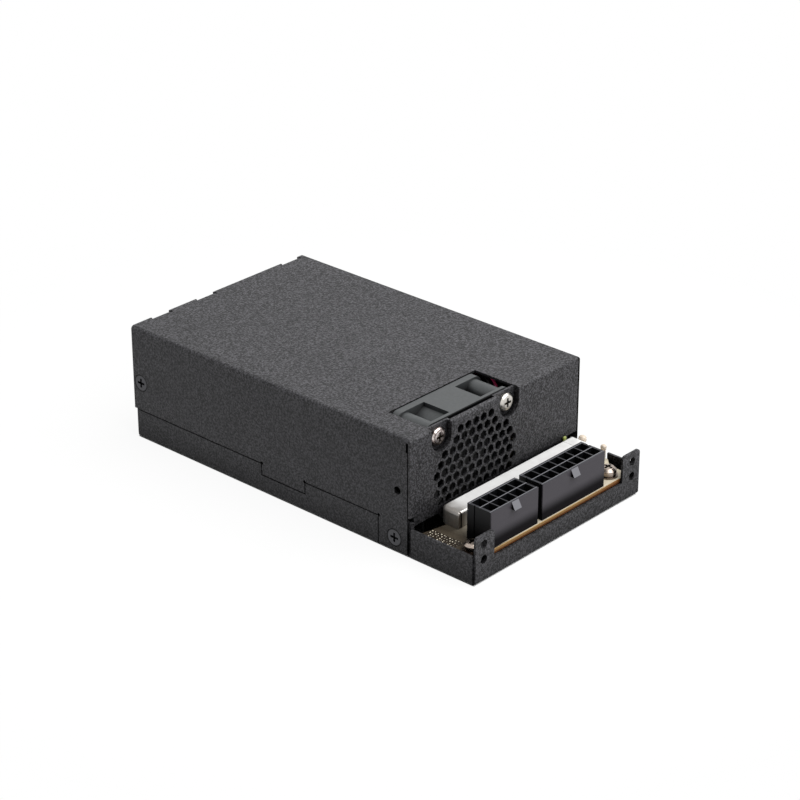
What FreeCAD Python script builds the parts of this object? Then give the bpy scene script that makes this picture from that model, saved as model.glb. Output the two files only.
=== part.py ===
import FreeCAD, Part
import math
import os
import re

import Sketcher
from FreeCAD import Rotation, Vector

# Flex ATX power supply: a folded steel case with a 40 mm fan, a tray of output sockets and a converter.
# X runs across, Y from the output sockets (-Y) to the mains inlet (+Y), Z up from the middle of the bottom.

SIZES = {
    # case: outside of the closed supply, its sheet, and the gaps between the two folded shells
    "case_width": 81.5,
    "case_height": 40.5,
    "case_length": 150.0,
    "tray_length": 26.0,
    "steel": 0.8,
    "bend": 1.2,
    "seam": 0.4,
    "lap_gap": 0.1,
    # cover: lower edge of its long sides, measured back from the fan face, and the reliefs of its folds
    "flange_height": 10.2,
    "foot_length": 13.0,
    "foot_clearance": 0.9,
    "tab_offset": 45.0,
    "tab_width": 19.0,
    "tab_low": 6.5,
    "corner_relief": 0.55,
    "seam_slot_height": 3.4,
    "seam_slot_width": 1.0,
    "face_notch_width": 2.0,
    "face_notch_right": 5.2,
    "face_notch_height": 3.2,
    "face_round": 1.6,
    # hooks of the rear plate: the outer two from the sides, the middle one from the centre
    "hook_width": 8.0,
    "hook_depth": 1.2,
    "hook_drop": 0.7,
    "hook_left": 12.95,
    "hook_middle": 7.4,
    "hook_right": 7.35,
    # cover screws: countersunk, rear pair from the rear end, front pair from the fan face, and a plain hole
    "cover_screw_head": 3.0,
    "cover_screw_shank": 1.5,
    "cover_screw_length": 3.4,
    "screw_clearance": 0.05,
    "rear_screw_inset": 3.6,
    "rear_screw_height": 20.65,
    "front_screw_inset": 6.5,
    "front_screw_height": 5.0,
    "side_hole_radius": 1.35,
    "side_hole_inset": 5.2,
    "side_hole_height": 21.9,
    "cross_length": 3.2,
    "cross_width": 0.8,
    "cross_depth": 0.9,
    # grille: hexagonal holes in staggered rows in front of the fan
    "grille_pitch": 3.62,
    "grille_hole": 2.75,
    "grille_top": 4.3,
    "grille_screw_margin": 6.0,
    "grille_foot_margin": 2.5,
    # pockets of the fan face round the fan screws
    "pocket_radius": 4.6,
    "pocket_depth": 2.0,
    "pocket_lip": 0.3,
    # tray: front flange, drilled ears and side walls
    "tray_flange": 7.0,
    "tray_corner_gap": 0.7,
    "tray_wall_inset": 0.9,
    "tray_right_wall": 13.0,
    "ear_width": 8.65,
    "ear_height": 16.4,
    "ear_round": 1.3,
    "ear_hole_radius": 1.45,
    "ear_hole_inset": 4.55,
    "ear_hole_low": 7.8,
    "ear_hole_pitch": 5.3,
    "ear_collar": 0.9,
    "ear_collar_wall": 0.6,
    # inner tabs of the chassis that take the cover screws
    "tab_plate_height": 12.0,
    "return_flange_length": 10.0,
    "return_flange_low": 12.0,
    "return_flange_top": 4.5,
    # rear plate: mounting holes and vent
    "mount_hole_radius": 1.5,
    "mount_hole_inset": 4.5,
    "mount_hole_edge": 4.4,
    "vent_inset": 15.6,
    "vent_columns": 6,
    "vent_rows": 8,
    # fan: square frame, duct, hub and rotor
    "fan_clearance": 0.25,
    "fan_depth": 15.0,
    "fan_offset": 10.3,
    "fan_corner": 3.0,
    "fan_gap": 0.35,
    "fan_hole_inset": 4.0,
    "fan_hole_radius": 2.15,
    "front_rim": 1.8,
    "rear_rim": 2.6,
    "duct_margin": 1.1,
    "duct_wall": 1.0,
    "side_pad_width": 14.6,
    "corner_tube": 3.4,
    "strut_width": 2.4,
    "strut_depth": 2.0,
    "hub_radius": 11.2,
    "hub_wall": 1.0,
    "hub_front": 1.2,
    "hub_length": 11.0,
    "hub_boss": 2.4,
    "hub_boss_length": 1.8,
    "blade_count": 7,
    "blade_tip_gap": 0.6,
    "blade_thickness": 0.9,
    "blade_root_reach": 3.7,
    "blade_tip_reach": 5.2,
    "blade_length": 9.4,
    "shaft_radius": 1.0,
    "shaft_length": 11.7,
    "shaft_clearance": 0.03,
    "bearing_radius": 2.2,
    "bearing_length": 9.0,
    "bearing_tube": 3.0,
    "fit_gap": 0.02,
    "magnet_wall": 0.9,
    "magnet_length": 7.3,
    "stator_gap": 0.4,
    "stator_ring": 1.6,
    "stator_height": 4.0,
    "stator_arm": 2.2,
    "stator_shoe": 1.0,
    "stator_shoe_width": 7.0,
    "coil_width": 5.0,
    "coil_overhang": 1.0,
    "fan_screw_head": 3.0,
    "fan_screw_head_height": 1.3,
    "fan_screw_shank": 2.1,
    "fan_screw_length": 9.0,
    # connector board, from the tray's left wall and front
    "board_level": 6.8,
    "board_thick": 1.6,
    "board_left": 1.95,
    "board_front": 1.3,
    "board_right_front": 4.55,
    "board_right_rear": 1.25,
    "board_past_face": 1.6,
    "tongue_gap": 2.8,
    "board_chamfer": 2.8,
    "board_notch": 1.2,
    "board_rear_cut": 4.0,
    "board_step": 9.0,
    "board_screw_left": 5.55,
    "board_screw_right": 10.05,
    "board_screw_front": 5.4,
    "board_screw_shank": 1.5,
    "board_screw_head": 2.8,
    "board_screw_head_height": 2.0,
    "board_screw_length": 5.0,
    "washer_radius": 3.3,
    "washer_thick": 0.5,
    "spring_washer_radius": 2.7,
    "spring_washer_thick": 0.8,
    "spring_washer_split": 0.5,
    "standoff_radius": 2.6,
    # output sockets: two rows of square cells
    "socket_pitch": 4.2,
    "socket_wall": 0.55,
    "socket_rim": 0.6,
    "socket_height": 12.6,
    "socket_floor": 2.4,
    "socket_left": 9.65,
    "socket_front": 1.7,
    "socket_gap": 2.2,
    "socket_small": 5,
    "latch_width": 3.2,
    "latch_height": 2.5,
    "latch_reach": 1.4,
    "latch_drop": 0.1,
    "end_groove_width": 0.5,
    "end_groove_depth": 0.3,
    "end_groove_inset": 2.7,
    "pin_side": 1.1,
    "pin_height": 7.4,
    "pin_tail": 3.0,
    # bus bar behind the sockets, from the case's sides and the fan face
    "bar_left": 12.5,
    "bar_right": 4.3,
    "bar_rear": 1.1,
    "bar_depth": 7.8,
    "bar_height": 5.4,
    "bar_metal": 0.6,
    "bar_round": 1.0,
    "bar_corner": 2.4,
    "bar_slit": 0.4,
    "bar_fold": 5.4,
    "bar_fold_width": 0.25,
    # small pieces of the connector board
    "disc_radius": 1.3,
    "disc_thick": 2.2,
    "disc_lift": 3.3,
    "disc_lead": 0.3,
    "disc_inset": 2.7,
    "disc_front": 13.1,
    "disc_rear": 21.8,
    "bead_radius": 0.75,
    "bead_thick": 0.8,
    "bead_lift": 4.6,
    "bead_right": 7.4,
    "bead_rear": 0.55,
    "solder_width": 4.6,
    "solder_length": 12.6,
    "solder_thick": 0.25,
    "solder_inset": 0.5,
    "solder_rear": 3.0,
    # main board, its film and the straps to the connector board
    "plenum": 2.4,
    "main_side": 2.7,
    "main_rear": 3.6,
    "board_split": 0.4,
    "film_thick": 0.3,
    "film_margin": 0.6,
    "stud_inset_x": 3.5,
    "stud_inset_y": 6.5,
    "link_count": 3,
    "link_width": 5.2,
    "link_length": 6.0,
    "link_thick": 0.8,
    # mains inlet, seen from behind as an oblong with two cut corners
    "inlet_side": 27.75,
    "inlet_lift": 1.95,
    "inlet_width": 27.4,
    "inlet_height": 19.8,
    "inlet_depth": 20.0,
    "inlet_corner": 4.4,
    "inlet_wall": 1.5,
    "inlet_floor": 3.5,
    "inlet_flange_width": 48.0,
    "inlet_flange_height": 22.4,
    "inlet_flange_thick": 2.4,
    "inlet_gap": 0.1,
    "inlet_screw_pitch": 40.0,
    "inlet_screw_shank": 1.5,
    "inlet_screw_head": 2.6,
    "inlet_screw_length": 5.0,
    "blade_pin_thick": 2.0,
    "blade_pin_width": 4.0,
    "blade_pin_reach": 14.0,
    "blade_pin_spacing": 7.0,
    "blade_pin_rise": 2.0,
    "blade_pin_tail": 3.0,
    # converter parts on the main board: insets are from the nearer side, the rest from the rear or the middle
    "bulk_radius": 12.0,
    "bulk_headroom": 2.8,
    "bulk_inset": 4.45,
    "choke_outer": 12.0,
    "choke_inner": 6.5,
    "choke_height": 10.0,
    "choke_lift": 1.6,
    "choke_turns": 16,
    "choke_wire": 1.2,
    "core_width": 28.0,
    "core_depth": 13.0,
    "core_height": 25.0,
    "core_leg": 5.0,
    "winding_overhang": 5.0,
    "winding_gap": 0.4,
    "sink_thick": 2.2,
    "sink_headroom": 4.3,
    "sink_fin": 2.4,
    "sink_fin_count": 5,
    "sink_fin_thick": 1.2,
    "sink_primary_length": 34.0,
    "sink_secondary_length": 22.0,
    "package_width": 10.2,
    "package_height": 15.5,
    "package_thick": 4.5,
    "package_pitch": 11.0,
    "package_inset": 5.4,
    "package_lift": 4.0,
    "package_lead": 0.8,
    "can_radius": 4.0,
    "can_height": 14.0,
    "can_count": 3,
    "can_pitch": 9.0,
    "can_chamfer": 0.6,
    "can_inset": 3.95,
    "filter_radius": 9.2,
    "filter_bore": 4.5,
    "filter_height": 12.0,
    "filter_inset": 7.15,
    "filter_margin": 6.8,
    "xcap_width": 18.0,
    "xcap_depth": 7.6,
    "xcap_height": 15.0,
    "xcap_inset": 3.95,
    "fuse_radius": 2.6,
    "fuse_length": 20.0,
    "fuse_cap": 5.0,
    "fuse_glass": 2.3,
    "fuse_lift": 1.0,
    "fuse_clip": 2.0,
    "fuse_x": 3.5,
    "fuse_gap": 0.4,
    "bridge_width": 15.0,
    "bridge_thick": 4.0,
    "bridge_height": 17.0,
    "bridge_x": 1.0,
    "bridge_gap": 1.4,
    "standby_side": 14.0,
    "standby_height": 15.0,
    "standby_inset": 5.95,
    "varistor_radius": 5.0,
    "varistor_thick": 4.0,
    "varistor_x": 8.0,
    "varistor_gap": 1.0,
    "fan_plug_width": 7.6,
    "fan_plug_depth": 5.8,
    "fan_plug_height": 7.0,
    "fan_plug_x": 20.0,
    "mould_round": 0.7,
    # fan leads
    "lead_radius": 0.5,
    "lead_spacing": 3.0,
    "lead_pitch": 2.54,
    "lead_setback": 4.0,
    "lead_outset": 0.75,
    "lead_headroom": 1.1,
    "lead_dip": 2.0,
}

doc = FreeCAD.newDocument("flex_power_supply")
sheet = doc.addObject("Spreadsheet::Sheet", "sizes")
for row, (name, number) in enumerate(SIZES.items(), 1):
    sheet.set(f"A{row}", name)
    sheet.set(f"B{row}", str(number))
    sheet.setAlias(f"B{row}", name)
doc.recompute()

# Places that many pieces share, as expressions.
HALF = "(case_width / 2)"
FRONT = "(-case_length / 2)"
FACE = "(tray_length - case_length / 2)"
REAR = "(case_length / 2)"
INSIDE = "(case_width / 2 - steel)"
LAPPED = "(case_width / 2 - steel - lap_gap)"
EDGE = "(flange_height + seam)"
FAN_SIZE = "(case_height - 2 * fan_clearance)"
FAN_PITCH = f"({FAN_SIZE} - 2 * fan_hole_inset)"
DUCT_RADIUS = f"({FAN_SIZE} / 2 - duct_margin)"
FAN_X = "(-fan_offset)"
FAN_Z = "(case_height / 2)"
FAN_Y = "(tray_length - case_length / 2 + pocket_depth + steel)"
BOARD_TOP = "(board_level + board_thick)"
BAR_TOP = "(board_level + board_thick + bar_height)"
INLET_X = f"({HALF} - inlet_side)"
INLET_Z = f"({BOARD_TOP} + inlet_lift + inlet_height / 2)"

# Turns that point a piece's own Z axis along a direction of the case.
TOWARDS = {
    "+X": Rotation(Vector(0, 1, 0), 90),
    "-X": Rotation(Vector(0, 1, 0), -90),
    "+Y": Rotation(Vector(1, 0, 0), -90),
    "-Y": Rotation(Vector(1, 0, 0), 90),
    "+Z": Rotation(),
    "-Z": Rotation(Vector(1, 0, 0), 180),
}
PLANES = {"X": ("YZ_Plane", ""), "Y": ("XZ_Plane", "-"), "Z": ("XY_Plane", "")}


def bound(text):
    """The expression with each size's name pointed at its cell of the sheet."""
    return re.sub(r"[a-z]\w*", lambda word: f"sizes.{word[0]}" if word[0] in SIZES else word[0], str(text))


def place(item, x, y, z, towards="+Z"):
    item.Placement = FreeCAD.Placement(Vector(), TOWARDS[towards])
    for axis, text in zip("xyz", (x, y, z)):
        item.setExpression(f"Placement.Base.{axis}", bound(text))
    return item


def box(name, low, high):
    """Block between two corners."""
    item = doc.addObject("Part::Box", name)
    for side, start, end in zip(("Length", "Width", "Height"), low, high):
        item.setExpression(side, bound(f"({end}) - ({start})"))
    return place(item, *low)


def rod(name, radius, length, x, y, z, towards="+Z"):
    item = doc.addObject("Part::Cylinder", name)
    item.setExpression("Radius", bound(radius))
    item.setExpression("Height", bound(length))
    return place(item, x, y, z, towards)


def cone(name, start_radius, end_radius, length, x, y, z, towards):
    item = doc.addObject("Part::Cone", name)
    item.setExpression("Radius1", bound(start_radius))
    item.setExpression("Radius2", bound(end_radius))
    item.setExpression("Height", bound(length))
    return place(item, x, y, z, towards)


def hexagon(name, flats, length, x, y, z):
    """Hexagonal punch along Y, with a corner up."""
    item = doc.addObject("Part::Prism", name)
    item.Polygon = 6
    item.setExpression("Circumradius", bound(f"{flats} / sqrt(3)"))
    item.setExpression("Height", bound(length))
    place(item, x, y, z, "+Y")
    item.Placement.Rotation = TOWARDS["+Y"] * Rotation(Vector(0, 0, 1), 30)
    return item


def group(name, items):
    item = doc.addObject("Part::Compound", name)
    item.Links = list(items)
    return item


def fuse(name, *items):
    item = doc.addObject("Part::MultiFuse", name)
    item.Shapes = list(items)
    return item


def cut(name, base, *tools):
    item = doc.addObject("Part::Cut", name)
    item.Base = base
    item.Tool = tools[0] if len(tools) == 1 else fuse(f"{name}_tools", *tools)
    return item


def common(name, first, second):
    item = doc.addObject("Part::Common", name)
    item.Base = first
    item.Tool = second
    return item


def new_body(name):
    return doc.addObject("PartDesign::Body", name)


def new_sketch(body, axis, start="0"):
    """Sketch square to an axis of the body, at a distance along it."""
    role, sign = PLANES[axis]
    item = body.newObject("Sketcher::SketchObject", f"{body.Name}_sketch")
    item.AttachmentSupport = (next(p for p in body.Origin.OriginFeatures if p.Role == role), [""])
    item.MapMode = "FlatFace"
    item.setExpression("AttachmentOffset.Base.z", bound(f"{sign}({start})"))
    return item


def draw(sketch, outline):
    """Closed outline of straight sides, each corner bound to two expressions."""
    first = sketch.GeometryCount
    count = len(outline)
    turns = [2 * math.pi * i / count for i in range(count)]
    ring = [Vector(math.cos(turn), math.sin(turn), 0) for turn in turns]
    sketch.addGeometry([Part.LineSegment(ring[i], ring[(i + 1) % count]) for i in range(count)], False)
    sketch.addConstraint(
        [Sketcher.Constraint("Coincident", first + i, 2, first + (i + 1) % count, 1) for i in range(count)]
    )
    for i, corner in enumerate(outline):
        for kind, text, start in zip(("DistanceX", "DistanceY"), corner, ring[i]):
            index = sketch.addConstraint(Sketcher.Constraint(kind, -1, 1, first + i, 1, start))
            sketch.setExpression(f"Constraints[{index}]", bound(text))


def pad(body, axis, start, length, outline):
    """Outline carried along an axis from a start by a length."""
    sketch = new_sketch(body, axis, start)
    draw(sketch, outline)
    item = body.newObject("PartDesign::Pad", f"{body.Name}_pad")
    item.Profile = sketch
    item.setExpression("Length", bound(length))
    item.Reversed = axis == "Y"
    return item


def prism(name, axis, start, length, outline):
    body = new_body(name)
    pad(body, axis, start, length, outline)
    return body


def rectangle(left, low, right, high):
    return [(left, low), (right, low), (right, high), (left, high)]


def round_edges(body, radius, pick):
    """Rounds the edges whose box, in the body's box, is picked."""
    doc.recompute()
    base = body.Tip
    whole = base.Shape.BoundBox
    names = [f"Edge{i}" for i, edge in enumerate(base.Shape.Edges, 1) if pick(edge.BoundBox, whole)]
    item = body.newObject("PartDesign::Fillet", f"{body.Name}_round")
    item.Base = (base, names)
    item.setExpression("Radius", bound(radius))
    return body


def near(first, second):
    return abs(first - second) < 1e-4


def turned(name, outline):
    """Outline of radius and height turned about Z."""
    body = new_body(name)
    sketch = new_sketch(body, "Y")
    draw(sketch, outline)
    item = body.newObject("PartDesign::Revolution", f"{name}_turn")
    item.Profile = sketch
    item.ReferenceAxis = (sketch, ["V_Axis"])
    item.Angle = 360
    return body


def cross_recess(name, top):
    """Driver recess: two crossed slots sunk from a height on the screw's axis."""
    long_half, short_half = "cross_length / 2", "cross_width / 2"
    bars = [
        box(f"{name}_slot_{i}", (f"-{x}", f"-{y}", f"{top} - cross_depth"), (x, y, f"{top} + 1"))
        for i, (x, y) in enumerate(((long_half, short_half), (short_half, long_half)))
    ]
    return fuse(f"{name}_recess", *bars)


def flat_screw(name, head, shank, length):
    """Countersunk screw with the top of its head at zero and its shank below."""
    tip = f"-{length}"
    outline = [("0", tip), (shank, tip), (shank, f"{shank} - {head}"), (head, "0"), ("0", "0")]
    return cut(name, turned(f"{name}_blank", outline), cross_recess(name, "0"))


def pan_screw(name, head, head_height, shank, length):
    """Pan-head screw with its seat at zero, its head above and its shank below."""
    outline = [
        ("0", f"-{length}"),
        (shank, f"-{length}"),
        (shank, "0"),
        (head, "0"),
        (head, f"{head_height} * 0.5"),
        (f"{head} - {head_height} * 0.4", f"{head_height} * 0.9"),
        (f"{head} - {head_height}", head_height),
        ("0", head_height),
    ]
    return cut(name, turned(f"{name}_blank", outline), cross_recess(name, head_height))


def ring(name, outer, inner, height):
    """Ring from zero up its own axis."""
    return turned(name, rectangle(inner, "0", outer, height))


def top_bends(edge, whole):
    """The three upper edges of a cover block that are folded: both long sides and the fan face."""
    return near(edge.ZMin, whole.ZMax) and not near(edge.YMin, whole.YMax)


# Top cover: one sheet folded over the top, both long sides and the fan face.
cover_outside = prism(
    "cover_outside", "Y", FACE, f"{REAR} - {FACE}", rectangle(f"-{HALF}", "0", HALF, "case_height")
)
round_edges(cover_outside, "bend", top_bends)
cover_inside = prism(
    "cover_inside", "Y", f"{FACE} + steel", f"{REAR} - {FACE}",
    rectangle(f"-{INSIDE}", "-steel", INSIDE, "case_height - steel"),
)
round_edges(cover_inside, "bend - steel", top_bends)
cover_shell = cut("cover_shell", cover_outside, cover_inside)

# The lower edge steps over the chassis flanges, with a locating tab between and a foot beside the fan face.
TAB_START = f"({FACE} + tab_offset)"
TAB_END = f"({FACE} + tab_offset + tab_width)"
FOOT_END = f"({FACE} + foot_length)"
lower_edge = prism(
    "cover_lower_edge", "X", f"-{HALF} - 1", "case_width + 2",
    [
        (f"{REAR} + 1", "-1"), (f"{REAR} + 1", EDGE), (TAB_END, EDGE), (TAB_END, "tab_low"),
        (TAB_START, "tab_low"), (TAB_START, EDGE), (FOOT_END, EDGE), (FOOT_END, "foot_clearance"),
        (f"{FACE} - 1", "foot_clearance"), (f"{FACE} - 1", "-1"),
    ],
)
corner_reliefs = [
    rod(f"cover_relief_{i}", "corner_relief", "case_width + 2", f"-{HALF} - 1", y, EDGE, "+X")
    for i, y in enumerate((TAB_END, TAB_START, FOOT_END))
]
face_foot = box(
    "cover_face_foot", (f"-{HALF} - 1", f"{FACE} - 1", "-1"), (f"{HALF} + 1", f"{FACE} + steel + seam", EDGE)
)
cover_steps = cut("cover_steps", cover_shell, lower_edge, face_foot, *corner_reliefs)

# Open seams where the sides meet the fan face, each with a wider slot at its head and a notch at its foot.
corner_cuts = []
for side, sign in (("left", "-"), ("right", "")):
    for kind, start, end, low, high in (
        ("seam", f"{FACE} + steel", f"{FACE} + steel + seam", "-1", "case_height - bend"),
        ("slot", f"{FACE} + steel", f"{FACE} + steel + seam_slot_width",
         "case_height - bend - seam_slot_height", "case_height - bend"),
    ):
        inner, outer = f"{sign}({INSIDE} - steel)", f"{sign}({HALF} + 1)"
        left, right = (outer, inner) if sign else (inner, outer)
        corner_cuts.append(box(f"cover_{kind}_{side}", (left, start, low), (right, end, high)))
    notch_width = "face_notch_width" if sign else "face_notch_right"
    inner, outer = f"{sign}({HALF} - {notch_width})", f"{sign}({HALF} + 1)"
    left, right = (outer, inner) if sign else (inner, outer)
    corner_cuts.append(
        box(
            f"cover_notch_{side}", (left, f"{FACE} - 1", f"{EDGE} - 1"),
            (right, f"{FACE} + steel + seam / 2", f"{EDGE} + face_notch_height"),
        )
    )
face_corner = box(
    "face_corner", (f"{HALF} - face_round", f"{FACE} - 1", f"{EDGE} + face_notch_height - 1"),
    (f"{HALF} + 1", f"{FACE} + steel + seam / 2", f"{EDGE} + face_notch_height + face_round"),
)
face_corner_keep = rod(
    "face_corner_keep", "face_round", "4 * steel",
    f"{HALF} - face_round", f"{FACE} - 2", f"{EDGE} + face_notch_height + face_round", "+Y",
)
corner_cuts.append(cut("face_corner_round", face_corner, face_corner_keep))

# Pockets sunk into the fan face round the two fan screws, open to the top.
SCREW_Z = f"({FAN_Z} + {FAN_PITCH} / 2)"
SCREW_XS = {"left": f"({FAN_X} - {FAN_PITCH} / 2)", "right": f"({FAN_X} + {FAN_PITCH} / 2)"}


def pocket_block(name, x, radius, start, end, top):
    """Round-bottomed block about a fan screw's axis, up to a height."""
    base = rod(f"{name}_round", radius, f"({end}) - ({start})", x, start, SCREW_Z, "+Y")
    upper = box(f"{name}_upper", (f"{x} - {radius}", start, SCREW_Z), (f"{x} + {radius}", end, top))
    limit = box(
        f"{name}_limit", (f"{x} - 2 * {radius}", f"{start} - 1", f"{SCREW_Z} - 2 * {radius}"),
        (f"{x} + 2 * {radius}", f"{end} + 1", top),
    )
    return common(name, fuse(f"{name}_whole", base, upper), limit)


pocket_walls = [
    pocket_block(
        f"pocket_wall_{side}", x, "(pocket_radius + steel)", FACE, FAN_Y, "case_height - pocket_lip"
    )
    for side, x in SCREW_XS.items()
]
pocket_cuts = [
    pocket_block(
        f"pocket_cut_{side}", x, "pocket_radius", f"{FACE} - 1", f"{FACE} + pocket_depth", "case_height + 1"
    )
    for side, x in SCREW_XS.items()
]
pocket_holes = [
    rod(f"pocket_hole_{side}", "fan_hole_radius", "pocket_depth + 4 * steel", x, FACE, SCREW_Z, "+Y")
    for side, x in SCREW_XS.items()
]
fan_window = box(
    "cover_fan_window",
    (f"{FAN_X} - {FAN_SIZE} / 2 - fan_gap", f"{FACE} + bend", "case_height - 2 * bend"),
    (f"{FAN_X} + {FAN_SIZE} / 2 + fan_gap", f"{FAN_Y} + fan_depth + fan_gap", "case_height + 1"),
)

# Notches in the rear edge for the hooks of the rear plate, and relief holes at their ends.
HOOK_XS = [f"(hook_left - {HALF})", "(-hook_middle)", f"({HALF} - hook_right)"]
hook_cuts = []
for i, x in enumerate(HOOK_XS):
    hook_cuts.append(
        box(
            f"hook_notch_{i}", (f"{x} - hook_width / 2", f"{REAR} - hook_depth", "case_height - 2 * bend"),
            (f"{x} + hook_width / 2", f"{REAR} + 1", "case_height + 1"),
        )
    )
    for j, sign in enumerate("-+"):
        hook_cuts.append(
            rod(
                f"hook_relief_{i}_{j}", "corner_relief", "4 * bend",
                f"{x} {sign} hook_width / 2", f"{REAR} - hook_depth", "case_height - 2 * bend",
            )
        )

# Screws of the cover: places on the left side, repeated on the right.
COVER_SCREWS = [
    (f"({REAR} - rear_screw_inset)", "rear_screw_height"),
    (f"({FACE} + front_screw_inset)", "front_screw_height"),
]
SIDES = {"left": ("-", "+X", "-X"), "right": ("", "-X", "+X")}
screw_sinks = []
side_holes = []
for side, (sign, inward, outward) in SIDES.items():
    for i, (y, z) in enumerate(COVER_SCREWS):
        sink = cone(
            f"screw_sink_{side}_{i}", "cover_screw_head + screw_clearance",
            "cover_screw_shank + screw_clearance", "cover_screw_head - cover_screw_shank",
            f"{sign}{HALF}", y, z, inward,
        )
        bore = rod(
            f"screw_bore_{side}_{i}", "cover_screw_shank + screw_clearance", "cover_screw_length",
            f"{sign}{HALF}", y, z, inward,
        )
        screw_sinks.append(fuse(f"screw_hole_{side}_{i}", sink, bore))
    side_holes.append(
        rod(
            f"side_hole_{side}", "side_hole_radius", "2 * steel", f"{sign}{HALF}",
            f"{FACE} + side_hole_inset", "side_hole_height", inward,
        )
    )

# Honeycomb grille in front of the fan's duct: staggered rows, kept off the screws and the face's lower edge.
grille_holes = []
fan_axis_height = SIZES["case_height"] / 2
fan_half = fan_axis_height - SIZES["fan_clearance"]
screw_reach = fan_half - SIZES["fan_hole_inset"]
duct_reach = fan_half - SIZES["duct_margin"]
face_low = SIZES["flange_height"] + SIZES["seam"] + SIZES["grille_foot_margin"]
row_step = SIZES["grille_pitch"] * math.sqrt(3) / 2
columns = math.ceil(duct_reach / SIZES["grille_pitch"])
for row in range(math.ceil(2 * duct_reach / row_step)):
    rise = fan_axis_height - SIZES["grille_top"] - row * row_step
    for column in range(-columns, columns + 1):
        step = column + 0.5 * (row % 2)
        across = step * SIZES["grille_pitch"]
        clear = math.hypot(abs(across) - screw_reach, rise - screw_reach) >= SIZES["grille_screw_margin"]
        above = fan_axis_height + rise >= face_low
        if clear and above and math.hypot(across, rise) <= duct_reach:
            grille_holes.append(
                hexagon(
                    f"grille_{row}_{column + columns}", "grille_hole", "1.75 * steel",
                    f"{FAN_X} + {step} * grille_pitch", f"{FACE} - steel / 2",
                    f"case_height - grille_top - {row} * grille_pitch * sqrt(3) / 2",
                )
            )

cover_windowed = cut("cover_windowed", cover_steps, fan_window)
cover_pockets = cut("cover_pockets", fuse("cover_with_pockets", cover_windowed, *pocket_walls), *pocket_cuts)
cover_holes = group("cover_holes", [*pocket_holes, *grille_holes, *screw_sinks, *side_holes])
cover_open = cut("cover_open", cover_pockets, *corner_cuts, *hook_cuts)
top_cover = cut("top_cover", cover_open, cover_holes)

cover_screws = []
for side, (sign, inward, outward) in SIDES.items():
    for i, (y, z) in enumerate(COVER_SCREWS):
        screw = flat_screw(
            f"cover_screw_{side}_{i}", "cover_screw_head", "cover_screw_shank", "cover_screw_length"
        )
        cover_screws.append(place(screw, f"{sign}{HALF}", y, z, outward))
cover_screw_set = group("cover_screws", cover_screws)


# Chassis base: floor, flush side flanges, tray with drilled ears and rear plate, all one sheet.
def floor_bends(edge, whole):
    return near(edge.ZMax, whole.ZMin)


tub_outside = prism("tub_outside", "Y", FRONT, "case_length", rectangle(f"-{HALF}", "0", HALF, "case_height"))
round_edges(tub_outside, "bend", floor_bends)
tub_inside = prism(
    "tub_inside", "Y", f"{FRONT} + steel", "case_length - 2 * steel",
    rectangle(f"-{INSIDE}", "steel", INSIDE, "case_height + 1"),
)
round_edges(tub_inside, "bend - steel", floor_bends)
tub = cut("tub", tub_outside, tub_inside)

# Upper outline of the side walls, seen from the side: everything above it is cut away.
NOTCH_START = f"({TAB_START} - seam)"
NOTCH_END = f"({TAB_END} + seam)"
REAR_INNER = f"({REAR} - steel)"
wall_top = prism(
    "tub_wall_top", "X", f"-{HALF} - 1", "case_width + 2",
    [
        (f"{FRONT} + steel", "case_height + 1"), (f"{FRONT} + steel", "flange_height"),
        (NOTCH_START, "flange_height"), (NOTCH_START, "tab_low - seam"), (NOTCH_END, "tab_low - seam"),
        (NOTCH_END, "flange_height"), (f"{REAR_INNER} - seam", "flange_height"),
        (f"{REAR_INNER} - seam", "bend"), (REAR_INNER, "bend"), (REAR_INNER, "case_height + 1"),
    ],
)
front_middle = box(
    "tub_front_middle", (f"tray_corner_gap + ear_width - {HALF}", f"{FRONT} - 1", "tray_flange"),
    (f"{HALF} - tray_corner_gap - ear_width", f"{FRONT} + tray_wall_inset", "case_height + 1"),
)
front_above = box(
    "tub_front_above", (f"-{HALF} - 1", f"{FRONT} - 1", "ear_height"),
    (f"{HALF} + 1", f"{FRONT} + 2 * steel", "case_height + 1"),
)
rear_above = box(
    "tub_rear_above", (f"-{HALF} - 1", f"{REAR} - 2 * steel", "case_height - steel - 2 * lap_gap"),
    (f"{HALF} + 1", f"{REAR} + 1", "case_height + 1"),
)
tub_side_cuts = []
for side, (sign, inward, outward) in SIDES.items():
    for kind, inner, start, end, low in (
        ("front_corner", f"({HALF} - tray_corner_gap)", f"{FRONT} - 1", f"{FRONT} + tray_wall_inset", "-1"),
        ("foot", LAPPED, f"{FACE} - seam", f"{FOOT_END} + seam", "-1"),
        ("rear_edge", f"({LAPPED} - lap_gap)", f"{REAR_INNER} - seam", f"{REAR} + 1", "-1"),
    ):
        inner, outer = f"{sign}{inner}", f"{sign}({HALF} + 1)"
        left, right = (outer, inner) if sign else (inner, outer)
        tub_side_cuts.append(box(f"tub_{kind}_{side}", (left, start, low), (right, end, "case_height + 1")))
right_wall_end = box(
    "tub_right_wall_end", (f"{INSIDE} - steel", f"{FRONT} + tray_right_wall", "bend"),
    (f"{HALF} + 1", FACE, "case_height + 1"),
)
tub_cut = cut("tub_cut", tub, wall_top, front_middle, front_above, rear_above, right_wall_end, *tub_side_cuts)

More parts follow.
